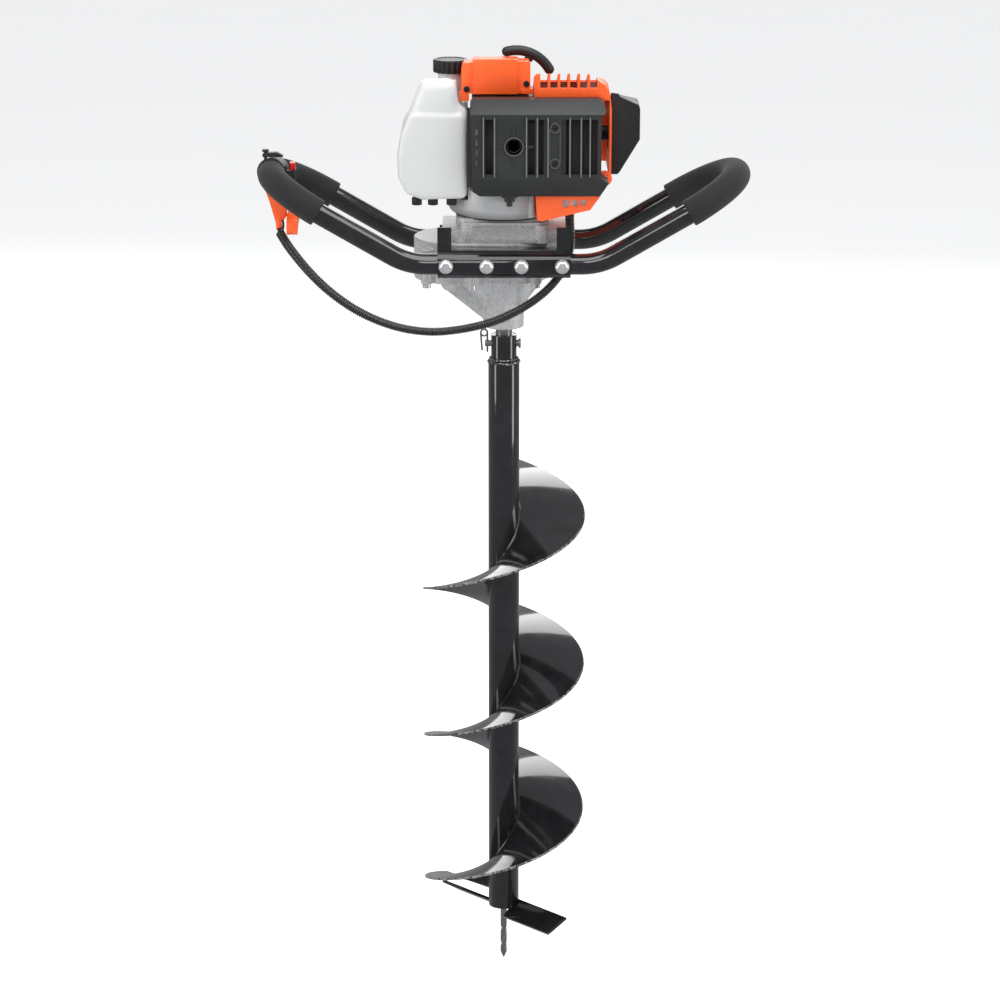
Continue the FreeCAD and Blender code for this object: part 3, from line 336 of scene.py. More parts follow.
@finish("blastedAluminium", "cast_aluminium")
def blastedAluminium(place):
    sockets = castGrain(place, 0.35)
    cloud = noise(place, 30, 3)
    sockets["Base Color"] = cloud.tint((0.42, 0.425, 0.435), (0.52, 0.525, 0.53))
    sockets["Metallic"] = 0.55
    return sockets


def moulded(place, dark, light, rough, grain=1700, depth=0.16):
    texture = noise(place, grain, 2)
    cloud = noise(place, 26, 4, 0.6)
    scuff = noise(stretched(place, (1.0, 1.0, 2.2)), 210, 4, 0.7).fade(0.55, 0.8)
    return {"Base Color": (cloud * 0.7 + scuff * 0.3).tint(dark, light),
            "Roughness": rough + cloud * 0.12 - 0.06 + scuff * 0.06,
            "Normal": bump(texture, depth, 0.0004)}


@finish("orangeShell", "orange_plastic")
def orangeShell(place):
    return moulded(place, (0.88, 0.098, 0.012), (0.98, 0.135, 0.022), 0.36, 1500, 0.10)


@finish("greyShell", "dark_plastic")
def greyShell(place):
    sockets = moulded(place, (0.019, 0.0205, 0.0205), (0.034, 0.0365, 0.0365), 0.42, 1300, 0.2)
    # painted highlight: the faces standing furthest forward (the fins' fronts) are lightened to stand in for
    # the reflection along their edges
    paintedFrontHighlight = parts(place).also("Y").fade(-0.1058, -0.1068)
    sockets["Base Color"] = paintedFrontHighlight.tint(sockets["Base Color"], (0.15, 0.152, 0.152))
    sockets["Specular IOR Level"] = 0.32
    return sockets


@finish("blackShell", "dark_plastic")
def blackShell(place):
    sockets = moulded(place, (0.010, 0.0105, 0.011), (0.021, 0.022, 0.023), 0.42, 1500, 0.16)
    sockets["Specular IOR Level"] = 0.38
    return sockets


@finish("tankShell", "tank_plastic")
def tankShell(place):
    cloud = noise(place, 14, 2)
    wave = noise(place, 22, 1)
    skin = noise(place, 900, 2)
    level = parts(place).also("Z").fade(0.93, 1.07)
    tone = cloud * 0.5 + level * 0.5
    return {"Base Color": tone.tint((0.55, 0.56, 0.555), (0.66, 0.665, 0.66)),
            "Roughness": cloud * 0.14 + 0.27,
            "Normal": bump(wave, 0.08, 0.003, bump(skin, 0.05, 0.0004)),
            "Subsurface Weight": 0.35, "Subsurface Radius": (0.9, 0.9, 0.85), "Subsurface Scale": 0.006}


@finish("gripFoam", "foam")
def gripFoam(place):
    cells = place.node("ShaderNodeTexVoronoi", None, {"Vector": place, "Scale": 1150})
    fine = noise(place, 2200, 2)
    cloud = noise(place, 60, 3)
    return {"Base Color": (cells * 0.6 + cloud * 0.4).tint((0.008, 0.0082, 0.0085), (0.026, 0.0263, 0.027)),
            "Roughness": cloud * 0.15 + 0.72, "Normal": bump(cells, 0.35, 0.0006, bump(fine, 0.2, 0.0003)),
            "Sheen Weight": 0.08, "Specular IOR Level": 0.22}


@finish("blackRubber", "rubber")
def blackRubber(place):
    bloom = noise(place, 120, 4)
    return {"Base Color": bloom.tint((0.008, 0.008, 0.0085), (0.022, 0.022, 0.023)),
            "Specular IOR Level": 0.35, "Roughness": bloom * 0.2 + 0.36,
            "Normal": bump(noise(place, 1600, 2), 0.15, 0.0003)}


@finish("ringedSleeve", "rubber")
def ringedSleeve(place):
    wear = noise(place, 90, 4)
    fine = noise(place, 900, 3).fade(0.45, 0.7)
    return {"Base Color": (wear * 0.4 + fine * 0.6).tint((0.006, 0.006, 0.0065), (0.05, 0.05, 0.052)),
            "Specular IOR Level": 0.75, "Roughness": wear * 0.14 + 0.22}


@finish("redRocker", "red_plastic")
def redRocker(place):
    return moulded(place, (0.58, 0.012, 0.008), (0.72, 0.022, 0.014), 0.3, 1500, 0.08)


@finish("filterFoam", "filter_foam")
def filterFoamPaint(place):
    cells = place.node("ShaderNodeTexVoronoi", None, {"Vector": place, "Scale": 700})
    return {"Base Color": cells.tint((0.02, 0.02, 0.02), (0.10, 0.10, 0.10)), "Roughness": 0.9,
            "Normal": bump(cells, 0.8, 0.001)}


@finish("starterCord", "rope")
def starterCord(place):
    lay = place.node("ShaderNodeTexWave", {"bands_direction": "DIAGONAL"},
                     {"Vector": place, "Scale": 380.0, "Distortion": 1.2, "Detail": 2.0})
    return {"Base Color": lay.tint((0.012, 0.012, 0.012), (0.10, 0.10, 0.10)), "Roughness": 0.8,
            "Normal": bump(lay, 0.8, 0.0006)}


@finish("porcelain", "tank_plastic")
def porcelain(place):
    speck = noise(place, 400, 3)
    return {"Base Color": speck.tint((0.78, 0.77, 0.74), (0.86, 0.86, 0.84)), "Roughness": speck * 0.1 + 0.12}


print("materials made:", len(finishes))


# ---- making and placing pieces ----
def newObject(name, mesh):
    piece = bpy.data.objects.new(name, mesh)
    bpy.context.scene.collection.objects.link(piece)
    return piece


def dress(piece, body, finishName, *replaced):
    material, slot = finishes[finishName]
    piece.data.materials.clear()
    piece.data.materials.append(material)
    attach(piece, body)
    if replaced:
        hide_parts(*replaced)
    return piece


def settle(piece, sharp=32.0):
    # live modifiers become one plain mesh, shaded smooth up to the sharp angle
    seen = piece.evaluated_get(bpy.context.evaluated_depsgraph_get())
    mesh = bpy.data.meshes.new_from_object(seen)
    piece.modifiers.clear()
    piece.data = mesh
    mesh.polygons.foreach_set("use_smooth", [True] * len(mesh.polygons))
    mesh.set_sharp_from_angle(angle=math.radians(sharp))
    return piece


def modify(piece, kind, **settings):
    made = piece.modifiers.new(kind.title(), kind)
    for name, value in settings.items():
        setattr(made, name, value)
    return made


def softEdges(piece, width, segments=2, angle=32.0):
    modify(piece, "BEVEL", width=width, segments=segments, limit_method="ANGLE",
           angle_limit=math.radians(angle), harden_normals=False, use_clamp_overlap=True)


def copyOf(*names):
    shape = bmesh.new()
    for name in names:
        shape.from_mesh(nodes[name].data)
    bmesh.ops.remove_doubles(shape, verts=shape.verts, dist=2e-6)
    bmesh.ops.dissolve_limit(shape, angle_limit=math.radians(0.5), verts=shape.verts, edges=shape.edges)
    return shape


def toMesh(shape, name):
    mesh = bpy.data.meshes.new(name)
    shape.to_mesh(mesh)
    shape.free()
    return mesh


def edgedCopy(pieceName, nodeName, body, finishName, width, segments=2, angle=32.0):
    piece = newObject(pieceName, toMesh(copyOf(nodeName), pieceName))
    if width:
        softEdges(piece, width, segments, angle)
    return dress(settle(piece, 40.0), body, finishName, nodeName)


def islands(nodeName):
    # lowest and highest corner of each loose part of a CAD node
    shape = bmesh.new()
    shape.from_mesh(nodes[nodeName].data)
    bmesh.ops.remove_doubles(shape, verts=shape.verts, dist=2e-6)
    waiting = set(shape.verts)
    found = []
    while waiting:
        front = [waiting.pop()]
        group = []
        while front:
            vert = front.pop()
            group.append(vert.co.copy())
            for edge in vert.link_edges:
                other = edge.other_vert(vert)
                if other in waiting:
                    waiting.remove(other)
                    front.append(other)
        low = Vector([min(p[i] for p in group) for i in range(3)])
        high = Vector([max(p[i] for p in group) for i in range(3)])
        found.append((low, high))
    shape.free()
    return sorted(found, key=lambda b: tuple(b[0]))


def roundedOutline(points, radii, steps=6):
    # a closed outline in a plane with rounded corners: each point with its outward normal
    count = len(points)
    area = sum(points[i][0] * points[(i + 1) % count][1] - points[(i + 1) % count][0] * points[i][1]
               for i in range(count))
    turn = 1.0 if area > 0 else -1.0
    if not isinstance(radii, (list, tuple)):
        radii = [radii] * count
    made = []
    for i, point in enumerate(points):
        here = Vector(point)
        before = (Vector(points[i - 1]) - here)
        after = (Vector(points[(i + 1) % count]) - here)
        reach = min(before.length, after.length) * 0.49
        before.normalize()
        after.normalize()
        half = before.angle(after) / 2
        radius = min(radii[i], reach * math.tan(half))
        tangent = radius / math.tan(half)
        centre = here + (before + after).normalized() * (radius / math.sin(half))
        start = here + before * tangent - centre
        end = here + after * tangent - centre
        cross = (-before).cross(after) * turn
        for step in range(steps + 1):
            arm = start.lerp(end, step / steps)
            arm = arm.normalized() * radius
            outward = arm.normalized() * (1 if cross > 0 else -1)
            made.append((centre + arm, outward))
    return made


def slab(outline, profile, place):
    # outline points moved inwards by each profile row's inset, at that row's depth
    shape = bmesh.new()
    rows = []
    for depth, inset in profile:
        rows.append([shape.verts.new(place(p - n * inset, depth)) for p, n in outline])
    for low, high in zip(rows, rows[1:]):
        for i in range(len(outline)):
            j = (i + 1) % len(outline)
            shape.faces.new((low[i], low[j], high[j], high[i]))
    shape.faces.new(rows[0])
    shape.faces.new(rows[-1])
    bmesh.ops.recalc_face_normals(shape, faces=shape.faces)
    return shape


def roundedEnds(start, end, radius, steps=5, endRadius=None):
    # profile rows of a slab from start to end with quarter-round rims
    last = radius if endRadius is None else endRadius
    way = 1 if end > start else -1
    rows = []
    for step in range(steps + 1):
        a = math.pi / 2 * step / steps
        rows.append((start + way * radius * (1 - math.cos(a)), radius * (1 - math.sin(a))))
    for step in range(steps, -1, -1):
        a = math.pi / 2 * step / steps
        rows.append((end - way * last * (1 - math.cos(a)), last * (1 - math.sin(a))))
    return rows


def alongY(point, depth):
    return Vector((point[0], depth, point[1]))


def merged(name, shapes):
    whole = bmesh.new()
    for shape in shapes:
        part = toMesh(shape, name + "Part")
        whole.from_mesh(part)
        bpy.data.meshes.remove(part)
    return newObject(name, toMesh(whole, name))


def lathe(rows, centre=(0, 0, 0), axis=(0, 0, 1), sides=48, wave=None, hollow=False):
    # closed turned shape: rows of (radius, height) along the axis; wave changes the radius round the turn
    # a hollow one joins its last row to its first in place of two end faces
    shape = bmesh.new()
    turn = Vector((0, 0, 1)).rotation_difference(Vector(axis).normalized()).to_matrix()
    rings = []
    for radius, height in rows:
        ringVerts = []
        for i in range(sides):
            a = 2 * math.pi * i / sides
            r = radius if wave is None else wave(radius, height, a)
            ringVerts.append(shape.verts.new(
                Vector(centre) + turn @ Vector((r * math.cos(a), r * math.sin(a), height))))
        rings.append(ringVerts)
    following = rings[1:] + rings[:1] if hollow else rings[1:]
    for low, high in zip(rings, following):
        for i in range(sides):
            j = (i + 1) % sides
            shape.faces.new((low[i], low[j], high[j], high[i]))
    if not hollow:
        shape.faces.new(rings[0])
        shape.faces.new(rings[-1])
    bmesh.ops.recalc_face_normals(shape, faces=shape.faces)
    return shape


def tubeAlong(points, radius, sides=16, capped=True):
    # round bar along points; radius is a number or one for each point
    shape = bmesh.new()
    points = [Vector(p) for p in points]
    radii = radius if isinstance(radius, (list, tuple)) else [radius] * len(points)
    ahead = (points[1] - points[0]).normalized()
    side = ahead.orthogonal().normalized()
    rings = []
    for i, point in enumerate(points):
        nextWay = (points[min(i + 1, len(points) - 1)] - points[max(i - 1, 0)]).normalized()
        side = (ahead.rotation_difference(nextWay) @ side).normalized()
        ahead = nextWay
        other = ahead.cross(side)
        rings.append([shape.verts.new(point + radii[i] * (math.cos(a) * side + math.sin(a) * other))
                      for a in (2 * math.pi * k / sides for k in range(sides))])
    for low, high in zip(rings, rings[1:]):
        for k in range(sides):
            j = (k + 1) % sides
            shape.faces.new((low[k], low[j], high[j], high[k]))
    if capped:
        shape.faces.new(rings[0])
        shape.faces.new(rings[-1])
    bmesh.ops.recalc_face_normals(shape, faces=shape.faces)
    return shape


# ---- Geometry Nodes ----
def newTree(name, inputs):
    # a Geometry Nodes tree with named inputs; returns the tree and a wire for each input
    tree = bpy.data.node_groups.new(name, "GeometryNodeTree")
    tree.interface.new_socket("Geometry", in_out="INPUT", socket_type="NodeSocketGeometry")
    for title, value in inputs.items():
        if isinstance(value, bpy.types.Material):
            kind = "NodeSocketMaterial"
        elif isinstance(value, int):
            kind = "NodeSocketInt"
        else:
            kind = "NodeSocketFloat"
        tree.interface.new_socket(title, in_out="INPUT", socket_type=kind)
    tree.interface.new_socket("Geometry", in_out="OUTPUT", socket_type="NodeSocketGeometry")
    start = tree.nodes.new("NodeGroupInput")
    return tree, {s.name: Wire(tree, s) for s in start.outputs if s.name}


def closeTree(geometry, material):
    solid = geometry.node("GeometryNodeRealizeInstances", None, {0: geometry})
    painted = solid.node("GeometryNodeSetMaterial", None, {0: solid, "Material": material})
    smooth = painted.node("GeometryNodeSetShadeSmooth", None, {0: painted})
    smooth.node("NodeGroupOutput", None, {0: smooth})


def runTree(name, tree, inputs, base=None, sharp=32.0):
    piece = newObject(name, base or bpy.data.meshes.new(name))
    modifier = piece.modifiers.new("nodes", "NODES")
    modifier.node_group = tree
    for item in tree.interface.items_tree:
        if item.in_out == "INPUT" and item.name in inputs:
            modifier[item.identifier] = inputs[item.name]
    return settle(piece, sharp)


def pointsAt(name, places, aims):
    # a cloud of points, each with the way that its copy faces
    mesh = bpy.data.meshes.new(name)
    mesh.from_pydata([tuple(p) for p in places], [], [])
    aim = mesh.attributes.new("aim", "FLOAT_VECTOR", "POINT")
    aim.data.foreach_set("vector", [c for a in aims for c in a])
    return mesh


def copiesOn(points, shape):
    aim = points.node("GeometryNodeInputNamedAttribute", {"data_type": "FLOAT_VECTOR"}, {"Name": "aim"})
    turn = points.node("FunctionNodeAlignRotationToVector", {"axis": "Z"}, {"Vector": aim})
    return points.node("GeometryNodeInstanceOnPoints", None, {
        "Points": points, "Instance": shape, "Rotation": turn})


def vector(wire, x=0.0, y=0.0, z=0.0):
    return wire.node("ShaderNodeCombineXYZ", None, {0: x, 1: y, 2: z})


def moved(geometry, offset):
    return geometry.node("GeometryNodeTransform", None, {"Geometry": geometry, "Translation": offset})


def joined(*pieces):
    made = pieces[0].tree.nodes.new("GeometryNodeJoinGeometry")
    for piece in pieces:
        piece.tree.links.new(piece.socket, made.inputs[0])
    return Wire(pieces[0].tree, made.outputs[0])


def disc(wire, sides, low, lowRadius, highRadius, height):
    # a closed cone or cylinder whose foot is at low
    cone = wire.node("GeometryNodeMeshCone", None, {"Vertices": sides, "Radius Top": highRadius,
                                                    "Radius Bottom": lowRadius, "Depth": height})
    return moved(cone, vector(wire, z=low))


# the bit's screw flight: one rounded strip swept up a rising helix
flight = {"innerRadius": 0.0186, "pitch": 0.1913, "startAngle": -943.0, "endAngle": 85.0,
          "levelAtZero": 0.5291, "thickness": 0.0029, "edgeRadius": 0.0009, "stepsPerTurn": 150}


def buildFlight():
    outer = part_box("auger_flight")[1].x
    turns = (flight["endAngle"] - flight["startAngle"]) / 360
    material = finishes["augerGloss"][0]
    inputs = {"outer radius": outer, "inner radius": flight["innerRadius"], "rise": flight["pitch"] * turns,
              "turns": turns, "start angle": math.radians(flight["startAngle"]),
              "start level": flight["levelAtZero"] + flight["pitch"] * flight["startAngle"] / 360,
              "thickness": flight["thickness"], "edge radius": flight["edgeRadius"],
              "steps": flight["stepsPerTurn"], "material": material}
    tree, wires = newTree("screwFlight", inputs)
    middle = (wires["outer radius"] + wires["inner radius"]) / 2
    helix = middle.node("GeometryNodeCurveSpiral", None, {
        "Resolution": wires["steps"], "Rotations": wires["turns"], "Start Radius": middle,
        "End Radius": middle, "Height": wires["rise"], "Reverse": True})
    placed = helix.node("GeometryNodeTransform", None, {
        "Geometry": helix, "Translation": vector(helix, z=wires["start level"]),
        "Rotation": vector(helix, z=wires["start angle"])})
    upright = placed.node("GeometryNodeSetCurveNormal", {"mode": "Z_UP"}, {0: placed})
    strip = placed.node("GeometryNodeCurvePrimitiveQuadrilateral", {"mode": "RECTANGLE"}, {
        "Width": wires["outer radius"] - wires["inner radius"], "Height": wires["thickness"]})
    softStrip = strip.node("GeometryNodeFilletCurve", {"mode": "POLY"}, {
        "Curve": strip, "Count": 3, "Limit Radius": True, "Radius": wires["edge radius"]})
    swept = upright.node("GeometryNodeCurveToMesh", None, {
        "Curve": upright, "Profile Curve": softStrip, "Fill Caps": True})
    closeTree(swept, wires["material"])
    piece = runTree("augerFlight", tree, inputs)
    dress(piece, "auger", "augerGloss", "auger_flight")


# the weld bead where the flight meets the stem
bead = {"radius": 0.0021, "ripple": 0.18, "ripplePitch": 0.0026, "stepsPerTurn": 260,
        "collars": [("collarWeldLow", 0.0181, 0.7226), ("collarWeldHigh", 0.0163, 0.7258)],
        "collarRadius": 0.0018, "collarRipple": 0.3}


def buildBeads():
    turns = (flight["endAngle"] - flight["startAngle"]) / 360 - 0.02
    inputs = {"stem radius": 0.0192, "turns": turns, "rise": flight["pitch"] * turns,
              "start angle": math.radians(flight["startAngle"] + 3), "bead radius": bead["radius"],
              "ripple": bead["ripple"], "ripple pitch": bead["ripplePitch"], "steps": bead["stepsPerTurn"],
              "start level": flight["levelAtZero"] + flight["pitch"] * (flight["startAngle"] + 3) / 360,
              "material": finishes["augerGloss"][0]}
    tree, wires = newTree("weldBead", inputs)
    helix = wires["turns"].node("GeometryNodeCurveSpiral", None, {
        "Resolution": wires["steps"], "Rotations": wires["turns"], "Start Radius": wires["stem radius"],
        "End Radius": wires["stem radius"], "Height": wires["rise"], "Reverse": True})
    placed = helix.node("GeometryNodeTransform", None, {
        "Geometry": helix, "Translation": vector(helix, z=wires["start level"]),
        "Rotation": vector(helix, z=wires["start angle"])})
    length = placed.node("GeometryNodeSplineParameter", None, None, "Length")
    phase = length / wires["ripple pitch"] * (2 * math.pi)
    wobble = phase.math("SINE", phase)
    circle = placed.node("GeometryNodeCurvePrimitiveCircle", {"mode": "RADIUS"}, {
        "Resolution": 8, "Radius": wires["bead radius"]})
    swept = placed.node("GeometryNodeCurveToMesh", None, {
        "Curve": placed, "Profile Curve": circle, "Scale": 1 + wobble * wires["ripple"], "Fill Caps": True})
    closeTree(swept, wires["material"])
    dress(runTree("flightWelds", tree, inputs), "auger", "augerGloss")
    for pieceName, radius, level in bead["collars"]:
        collar = {**inputs, "stem radius": radius, "turns": 1.0, "rise": 0.0, "start level": level,
                  "bead radius": bead["collarRadius"], "ripple": bead["collarRipple"]}
        dress(runTree(pieceName, tree, collar), "auger", "weldMetal")


# flange bolts and socket screws
def boltTree(inputs):
    tree, wires = newTree("flangeBolts", inputs)
    base = wires["Geometry"]
    flange = disc(base, 32, 0.0, wires["flange radius"], wires["flange radius"] * 0.94,
                  wires["flange height"])
    collar = disc(base, 32, wires["flange height"], wires["flange radius"] * 0.86, wires["hex radius"] * 0.94,
                  wires["flange height"] * 0.5)
    hexFoot = wires["flange height"] * 0.9
    hexHeight = wires["hex height"] * 0.84
    hexBody = disc(base, 6, hexFoot, wires["hex radius"], wires["hex radius"], hexHeight)
    crown = disc(base, 6, hexFoot + hexHeight, wires["hex radius"], wires["hex radius"] * 0.84,
                 wires["hex height"] * 0.16)
    rim = disc(base, 24, hexFoot + wires["hex height"] * 0.9, wires["hex radius"] * 0.70,
               wires["hex radius"] * 0.62, wires["hex height"] * 0.18)
    shank = disc(base, 20, wires["shank length"] * -1, wires["shank radius"], wires["shank radius"],
                 wires["shank length"])
    whole = joined(flange, collar, hexBody, crown, rim, shank)
    closeTree(copiesOn(base, whole), wires["material"])
    return tree


clampBolt = {"flange radius": 0.0087, "flange height": 0.0018, "hex radius": 0.0072, "hex height": 0.0052,
             "shank radius": 0.004, "shank length": 0.02}


def buildClampBolts():
    places = []
    aims = []
    for low, high in islands("clamp_bolts"):
        side = 1 if low.y + high.y > 0 else -1
        outer = high.y if side > 0 else low.y
        seat = outer - side * (clampBolt["flange height"] + clampBolt["hex height"])
        places.append(((low.x + high.x) / 2, seat, (low.z + high.z) / 2))
        aims.append((0, side, 0))
    inputs = {**clampBolt, "material": finishes["brightZinc"][0]}
    piece = runTree("clampBolts", boltTree(inputs), inputs, pointsAt("clampBoltPlaces", places, aims), 30)
    dress(piece, "root", "brightZinc", "clamp_bolts")


caseScrew = {"head radius": 0.005, "head height": 0.005, "socket radius": 0.0024, "shank radius": 0.003,
             "shank length": 0.03}


def screwTree(inputs):
    tree, wires = newTree("socketScrews", inputs)
    base = wires["Geometry"]
    head = base.node("GeometryNodeMeshCylinder", {"fill_type": "NGON"}, {
        "Vertices": 24, "Radius": wires["head radius"], "Depth": wires["head height"]})
    topFace = head.also("Top")
    inset = head.node("GeometryNodeExtrudeMesh", {"mode": "FACES"}, {
        "Mesh": head, "Selection": topFace, "Offset Scale": wires["head radius"] * 0.06, "Individual": False})
    smaller = inset.node("GeometryNodeScaleElements", {"domain": "FACE"}, {
        "Geometry": inset, "Selection": inset.also("Top"),
        "Scale": wires["socket radius"] / wires["head radius"]})
    sunk = smaller.node("GeometryNodeExtrudeMesh", {"mode": "FACES"}, {
        "Mesh": smaller, "Selection": inset.also("Top"), "Offset Scale": wires["head height"] * -0.6,
        "Individual": False})
    lifted = moved(sunk, vector(base, z=wires["head height"] / 2))
    shank = disc(base, 16, wires["shank length"] * -1, wires["shank radius"], wires["shank radius"],
                 wires["shank length"])
    closeTree(copiesOn(base, joined(lifted, shank)), wires["material"])
    return tree


def buildCaseScrews():
    places = []
    for low, high in islands("case_screws"):
        places.append(((low.x + high.x) / 2, (low.y + high.y) / 2, low.z + caseScrew["head height"]))
    inputs = {**caseScrew, "material": finishes["brightZinc"][0]}
    tree = screwTree(inputs)
    cloud = pointsAt("caseScrewPlaces", places, [(0, 0, -1)] * len(places))
    dress(runTree("caseScrews", tree, inputs, cloud, 30), "root", "brightZinc", "case_screws")
    return tree


# small dark screws on the plastic covers
coverScrew = {"head radius": 0.0036, "head height": 0.0024, "socket radius": 0.0019, "shank radius": 0.0015,
              "shank length": 0.003}


def buildCoverScrews(tree):
    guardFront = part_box("muffler_cover")[0].y
    places = [(-0.0438, -0.0422, 1.0603), (0.0263, -0.0422, 1.0667),
              (0.059, guardFront + 0.0004, 0.983), (0.059, guardFront + 0.0004, 1.0245)]
    aims = [(0, -1, 0)] * 4
    inputs = {**coverScrew, "material": finishes["blackShell"][0]}
    dress(runTree("coverScrews", tree, inputs, pointsAt("coverScrewPlaces", places, aims), 30),
          "root", "blackShell")


# ---- the throttle conduit: a corrugated sleeve on one smooth line, and the two leads that enter it ----
conduit = {"diameter": 0.011, "length": 0.490, "pitch": 0.0027, "groove": 0.0012, "sides": 20,
           "step": 0.00036}
conduitRoute = [
    (-0.268, -0.0085, 0.882), (-0.260, -0.0205, 0.8715), (-0.250, -0.0305, 0.8605), (-0.236, -0.041, 0.8455),
    (-0.219, -0.051, 0.830), (-0.2005, -0.060, 0.816), (-0.1795, -0.068, 0.803), (-0.157, -0.0745, 0.7925),
    (-0.132, -0.079, 0.784), (-0.107, -0.0815, 0.779), (-0.0795, -0.082, 0.777), (-0.044, -0.080, 0.781),
    (-0.012, -0.075, 0.788), (0.016, -0.068, 0.7995), (0.041, -0.0605, 0.814), (0.061, -0.0545, 0.832),
    (0.074, -0.0525, 0.853), (0.079, -0.053, 0.876), (0.078, -0.0575, 0.896), (0.077, -0.062, 0.920)]

conduitLeads = [  # name, radius, route
    ("throttleCable", 0.0024, [
        (-0.2694, -0.0028, 0.8868), (-0.2692, -0.0052, 0.8845), (-0.2682, -0.0082, 0.8823),
        (-0.2658, -0.0120, 0.8789), (-0.2630, -0.0160, 0.8754)]),
    ("switchLead", 0.0014, [
        (-0.2655, 0.0045, 0.8955), (-0.2643, -0.0010, 0.8905), (-0.2650, -0.0052, 0.8862),
        (-0.2655, -0.0092, 0.8825), (-0.2648, -0.0125, 0.8790), (-0.2628, -0.0158, 0.8758)])]


def smoothLine(name, points):
    # one NURBS spline with these control points
    data = bpy.data.curves.new(name, "CURVE")
    data.dimensions = "3D"
    data.resolution_u = 24
    spline = data.splines.new("NURBS")
    spline.points.add(len(points) - 1)
    for point, place in zip(spline.points, points):
        point.co = (*place, 1)
    spline.order_u = 3
    spline.use_endpoint_u = True
    return newObject(name, data)


def linePoints(line):
    bpy.context.view_layer.update()
    mesh = bpy.data.meshes.new_from_object(line.evaluated_get(bpy.context.evaluated_depsgraph_get()))
    points = [v.co.copy() for v in mesh.vertices]
    bpy.data.meshes.remove(mesh)
    bpy.data.objects.remove(line)
    return points


def buildConduit():
    points = linePoints(smoothLine("conduitLine", conduitRoute))
    path = bpy.data.meshes.new("conduitPath")
    path.from_pydata([tuple(p) for p in points], [(i, i + 1) for i in range(len(points) - 1)], [])
    inputs = {"outer radius": conduit["diameter"] / 2, "groove": conduit["groove"], "pitch": conduit["pitch"],
              "sides": conduit["sides"], "step": conduit["step"], "material": finishes["ringedSleeve"][0]}
    tree, wires = newTree("ringedSleeve", inputs)
    line = wires["Geometry"].node("GeometryNodeMeshToCurve", None, {0: wires["Geometry"]})
    even = line.node("GeometryNodeResampleCurve", {"mode": "LENGTH"}, {
        "Curve": line, "Length": wires["step"]})
    along = even.node("GeometryNodeSplineParameter", None, None, "Length")
    phase = along / wires["pitch"] * (2 * math.pi)
    ring = phase.math("SINE", phase)
    flat = (ring * 2.2).node("ShaderNodeClamp", None, {0: ring * 2.2, 1: -1.0, 2: 1.0})
    share = wires["groove"] / wires["outer radius"]
    circle = even.node("GeometryNodeCurvePrimitiveCircle", {"mode": "RADIUS"}, {
        "Resolution": wires["sides"], "Radius": wires["outer radius"]})
    swept = even.node("GeometryNodeCurveToMesh", None, {
        "Curve": even, "Profile Curve": circle, "Fill Caps": True,
        "Scale": 1 - share * 0.5 + flat * share * 0.5})
    closeTree(swept, wires["material"])
    sleeve = runTree("throttleConduit", tree, inputs, path, 50)
    dress(sleeve, "root", "ringedSleeve", "throttle_conduit")
    for name, radius, route in conduitLeads:
        shape = tubeAlong(linePoints(smoothLine(name + "Line", route)), radius, 12)
        lead = settle(newObject(name, toMesh(shape, name)))
        dress(lead, "root", "blackRubber")


buildConduit()
print("conduit made")

# ---- drilling bit ----
buildFlight()
buildBeads()
edgedCopy("augerTube", "auger_tube", "auger", "tubeGloss", 0.0006, 2, 25)
edgedCopy("cutterBlades", "cutter_blades", "auger", "bladeGloss", 0.00035, 2)
edgedCopy("hitchPin", "hitch_pin", "auger", "turnedSteel", 0.0005, 2)
edgedCopy("hitchClip", "hitch_clip", "auger", "turnedSteel", 0)
edgedCopy("outputShaft", "output_shaft", "auger", "turnedSteel", 0.0006)

pilot = {"shankTop": 0.013, "rootTop": 0.027, "radius": 0.004, "rootRadius": 0.005, "twistTop": -0.012,
         "flute": 0.42, "turnPerMetre": 150.0, "sides": 40, "rows": 110}


def buildPilot():
    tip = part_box("pilot_point")[0].z

    def fluted(radius, height, angle):
        depth = max(0.0, min(1.0, (pilot["twistTop"] - height) / 0.006))
        wave = max(0.0, math.cos(2 * (angle - height * pilot["turnPerMetre"]))) ** 1.4
        return radius * (1 - pilot["flute"] * depth * wave)

    rows = [(0.0003, tip)]
    for i in range(1, pilot["rows"]):
        height = tip + (pilot["shankTop"] - tip) * i / pilot["rows"]
        rows.append((min(pilot["radius"], 0.0003 + (height - tip) * 0.42), height))
    rows += [(pilot["radius"], pilot["shankTop"]), (pilot["rootRadius"], pilot["shankTop"] + 0.0004),
             (pilot["rootRadius"], pilot["rootTop"])]
    shape = lathe(rows, sides=pilot["sides"], wave=fluted)
    piece = settle(newObject("pilotPoint", toMesh(shape, "pilotPoint")), 28)
    dress(piece, "auger", "turnedSteel", "pilot_point")


buildPilot()
print("bit made")

# ---- handle frame ----
edgedCopy("leftHandleTube", "left_handle_tube", "root", "tubeGloss", 0)
edgedCopy("rightHandleTube", "right_handle_tube", "root", "tubeGloss", 0)
for side in ("left", "right"):
    grip = edgedCopy(side + "Grip", side + "_grip", "root", "gripFoam", 0.0024, 4, 40)
edgedCopy("handleClamps", "handle_clamps", "root", "plateGloss", 0.0008, 3)
buildClampBolts()
print("handle frame made")

# ---- gearbox and clutch castings ----
casting = {"voxel": 0.0013, "smooth": 4}


def castPiece(pieceName, nodeName, finishName, voxel=None, smooth=None, ratio=None):
    # the CAD casting with its corners melted into small fillets
    piece = newObject(pieceName, toMesh(copyOf(nodeName), pieceName))
    modify(piece, "REMESH", mode="VOXEL", voxel_size=voxel or casting["voxel"], use_smooth_shade=True)
    modify(piece, "SMOOTH", factor=0.5, iterations=smooth or casting["smooth"])
    if ratio:
        modify(piece, "DECIMATE", ratio=ratio)
    return dress(settle(piece, 60), "root", finishName, nodeName)


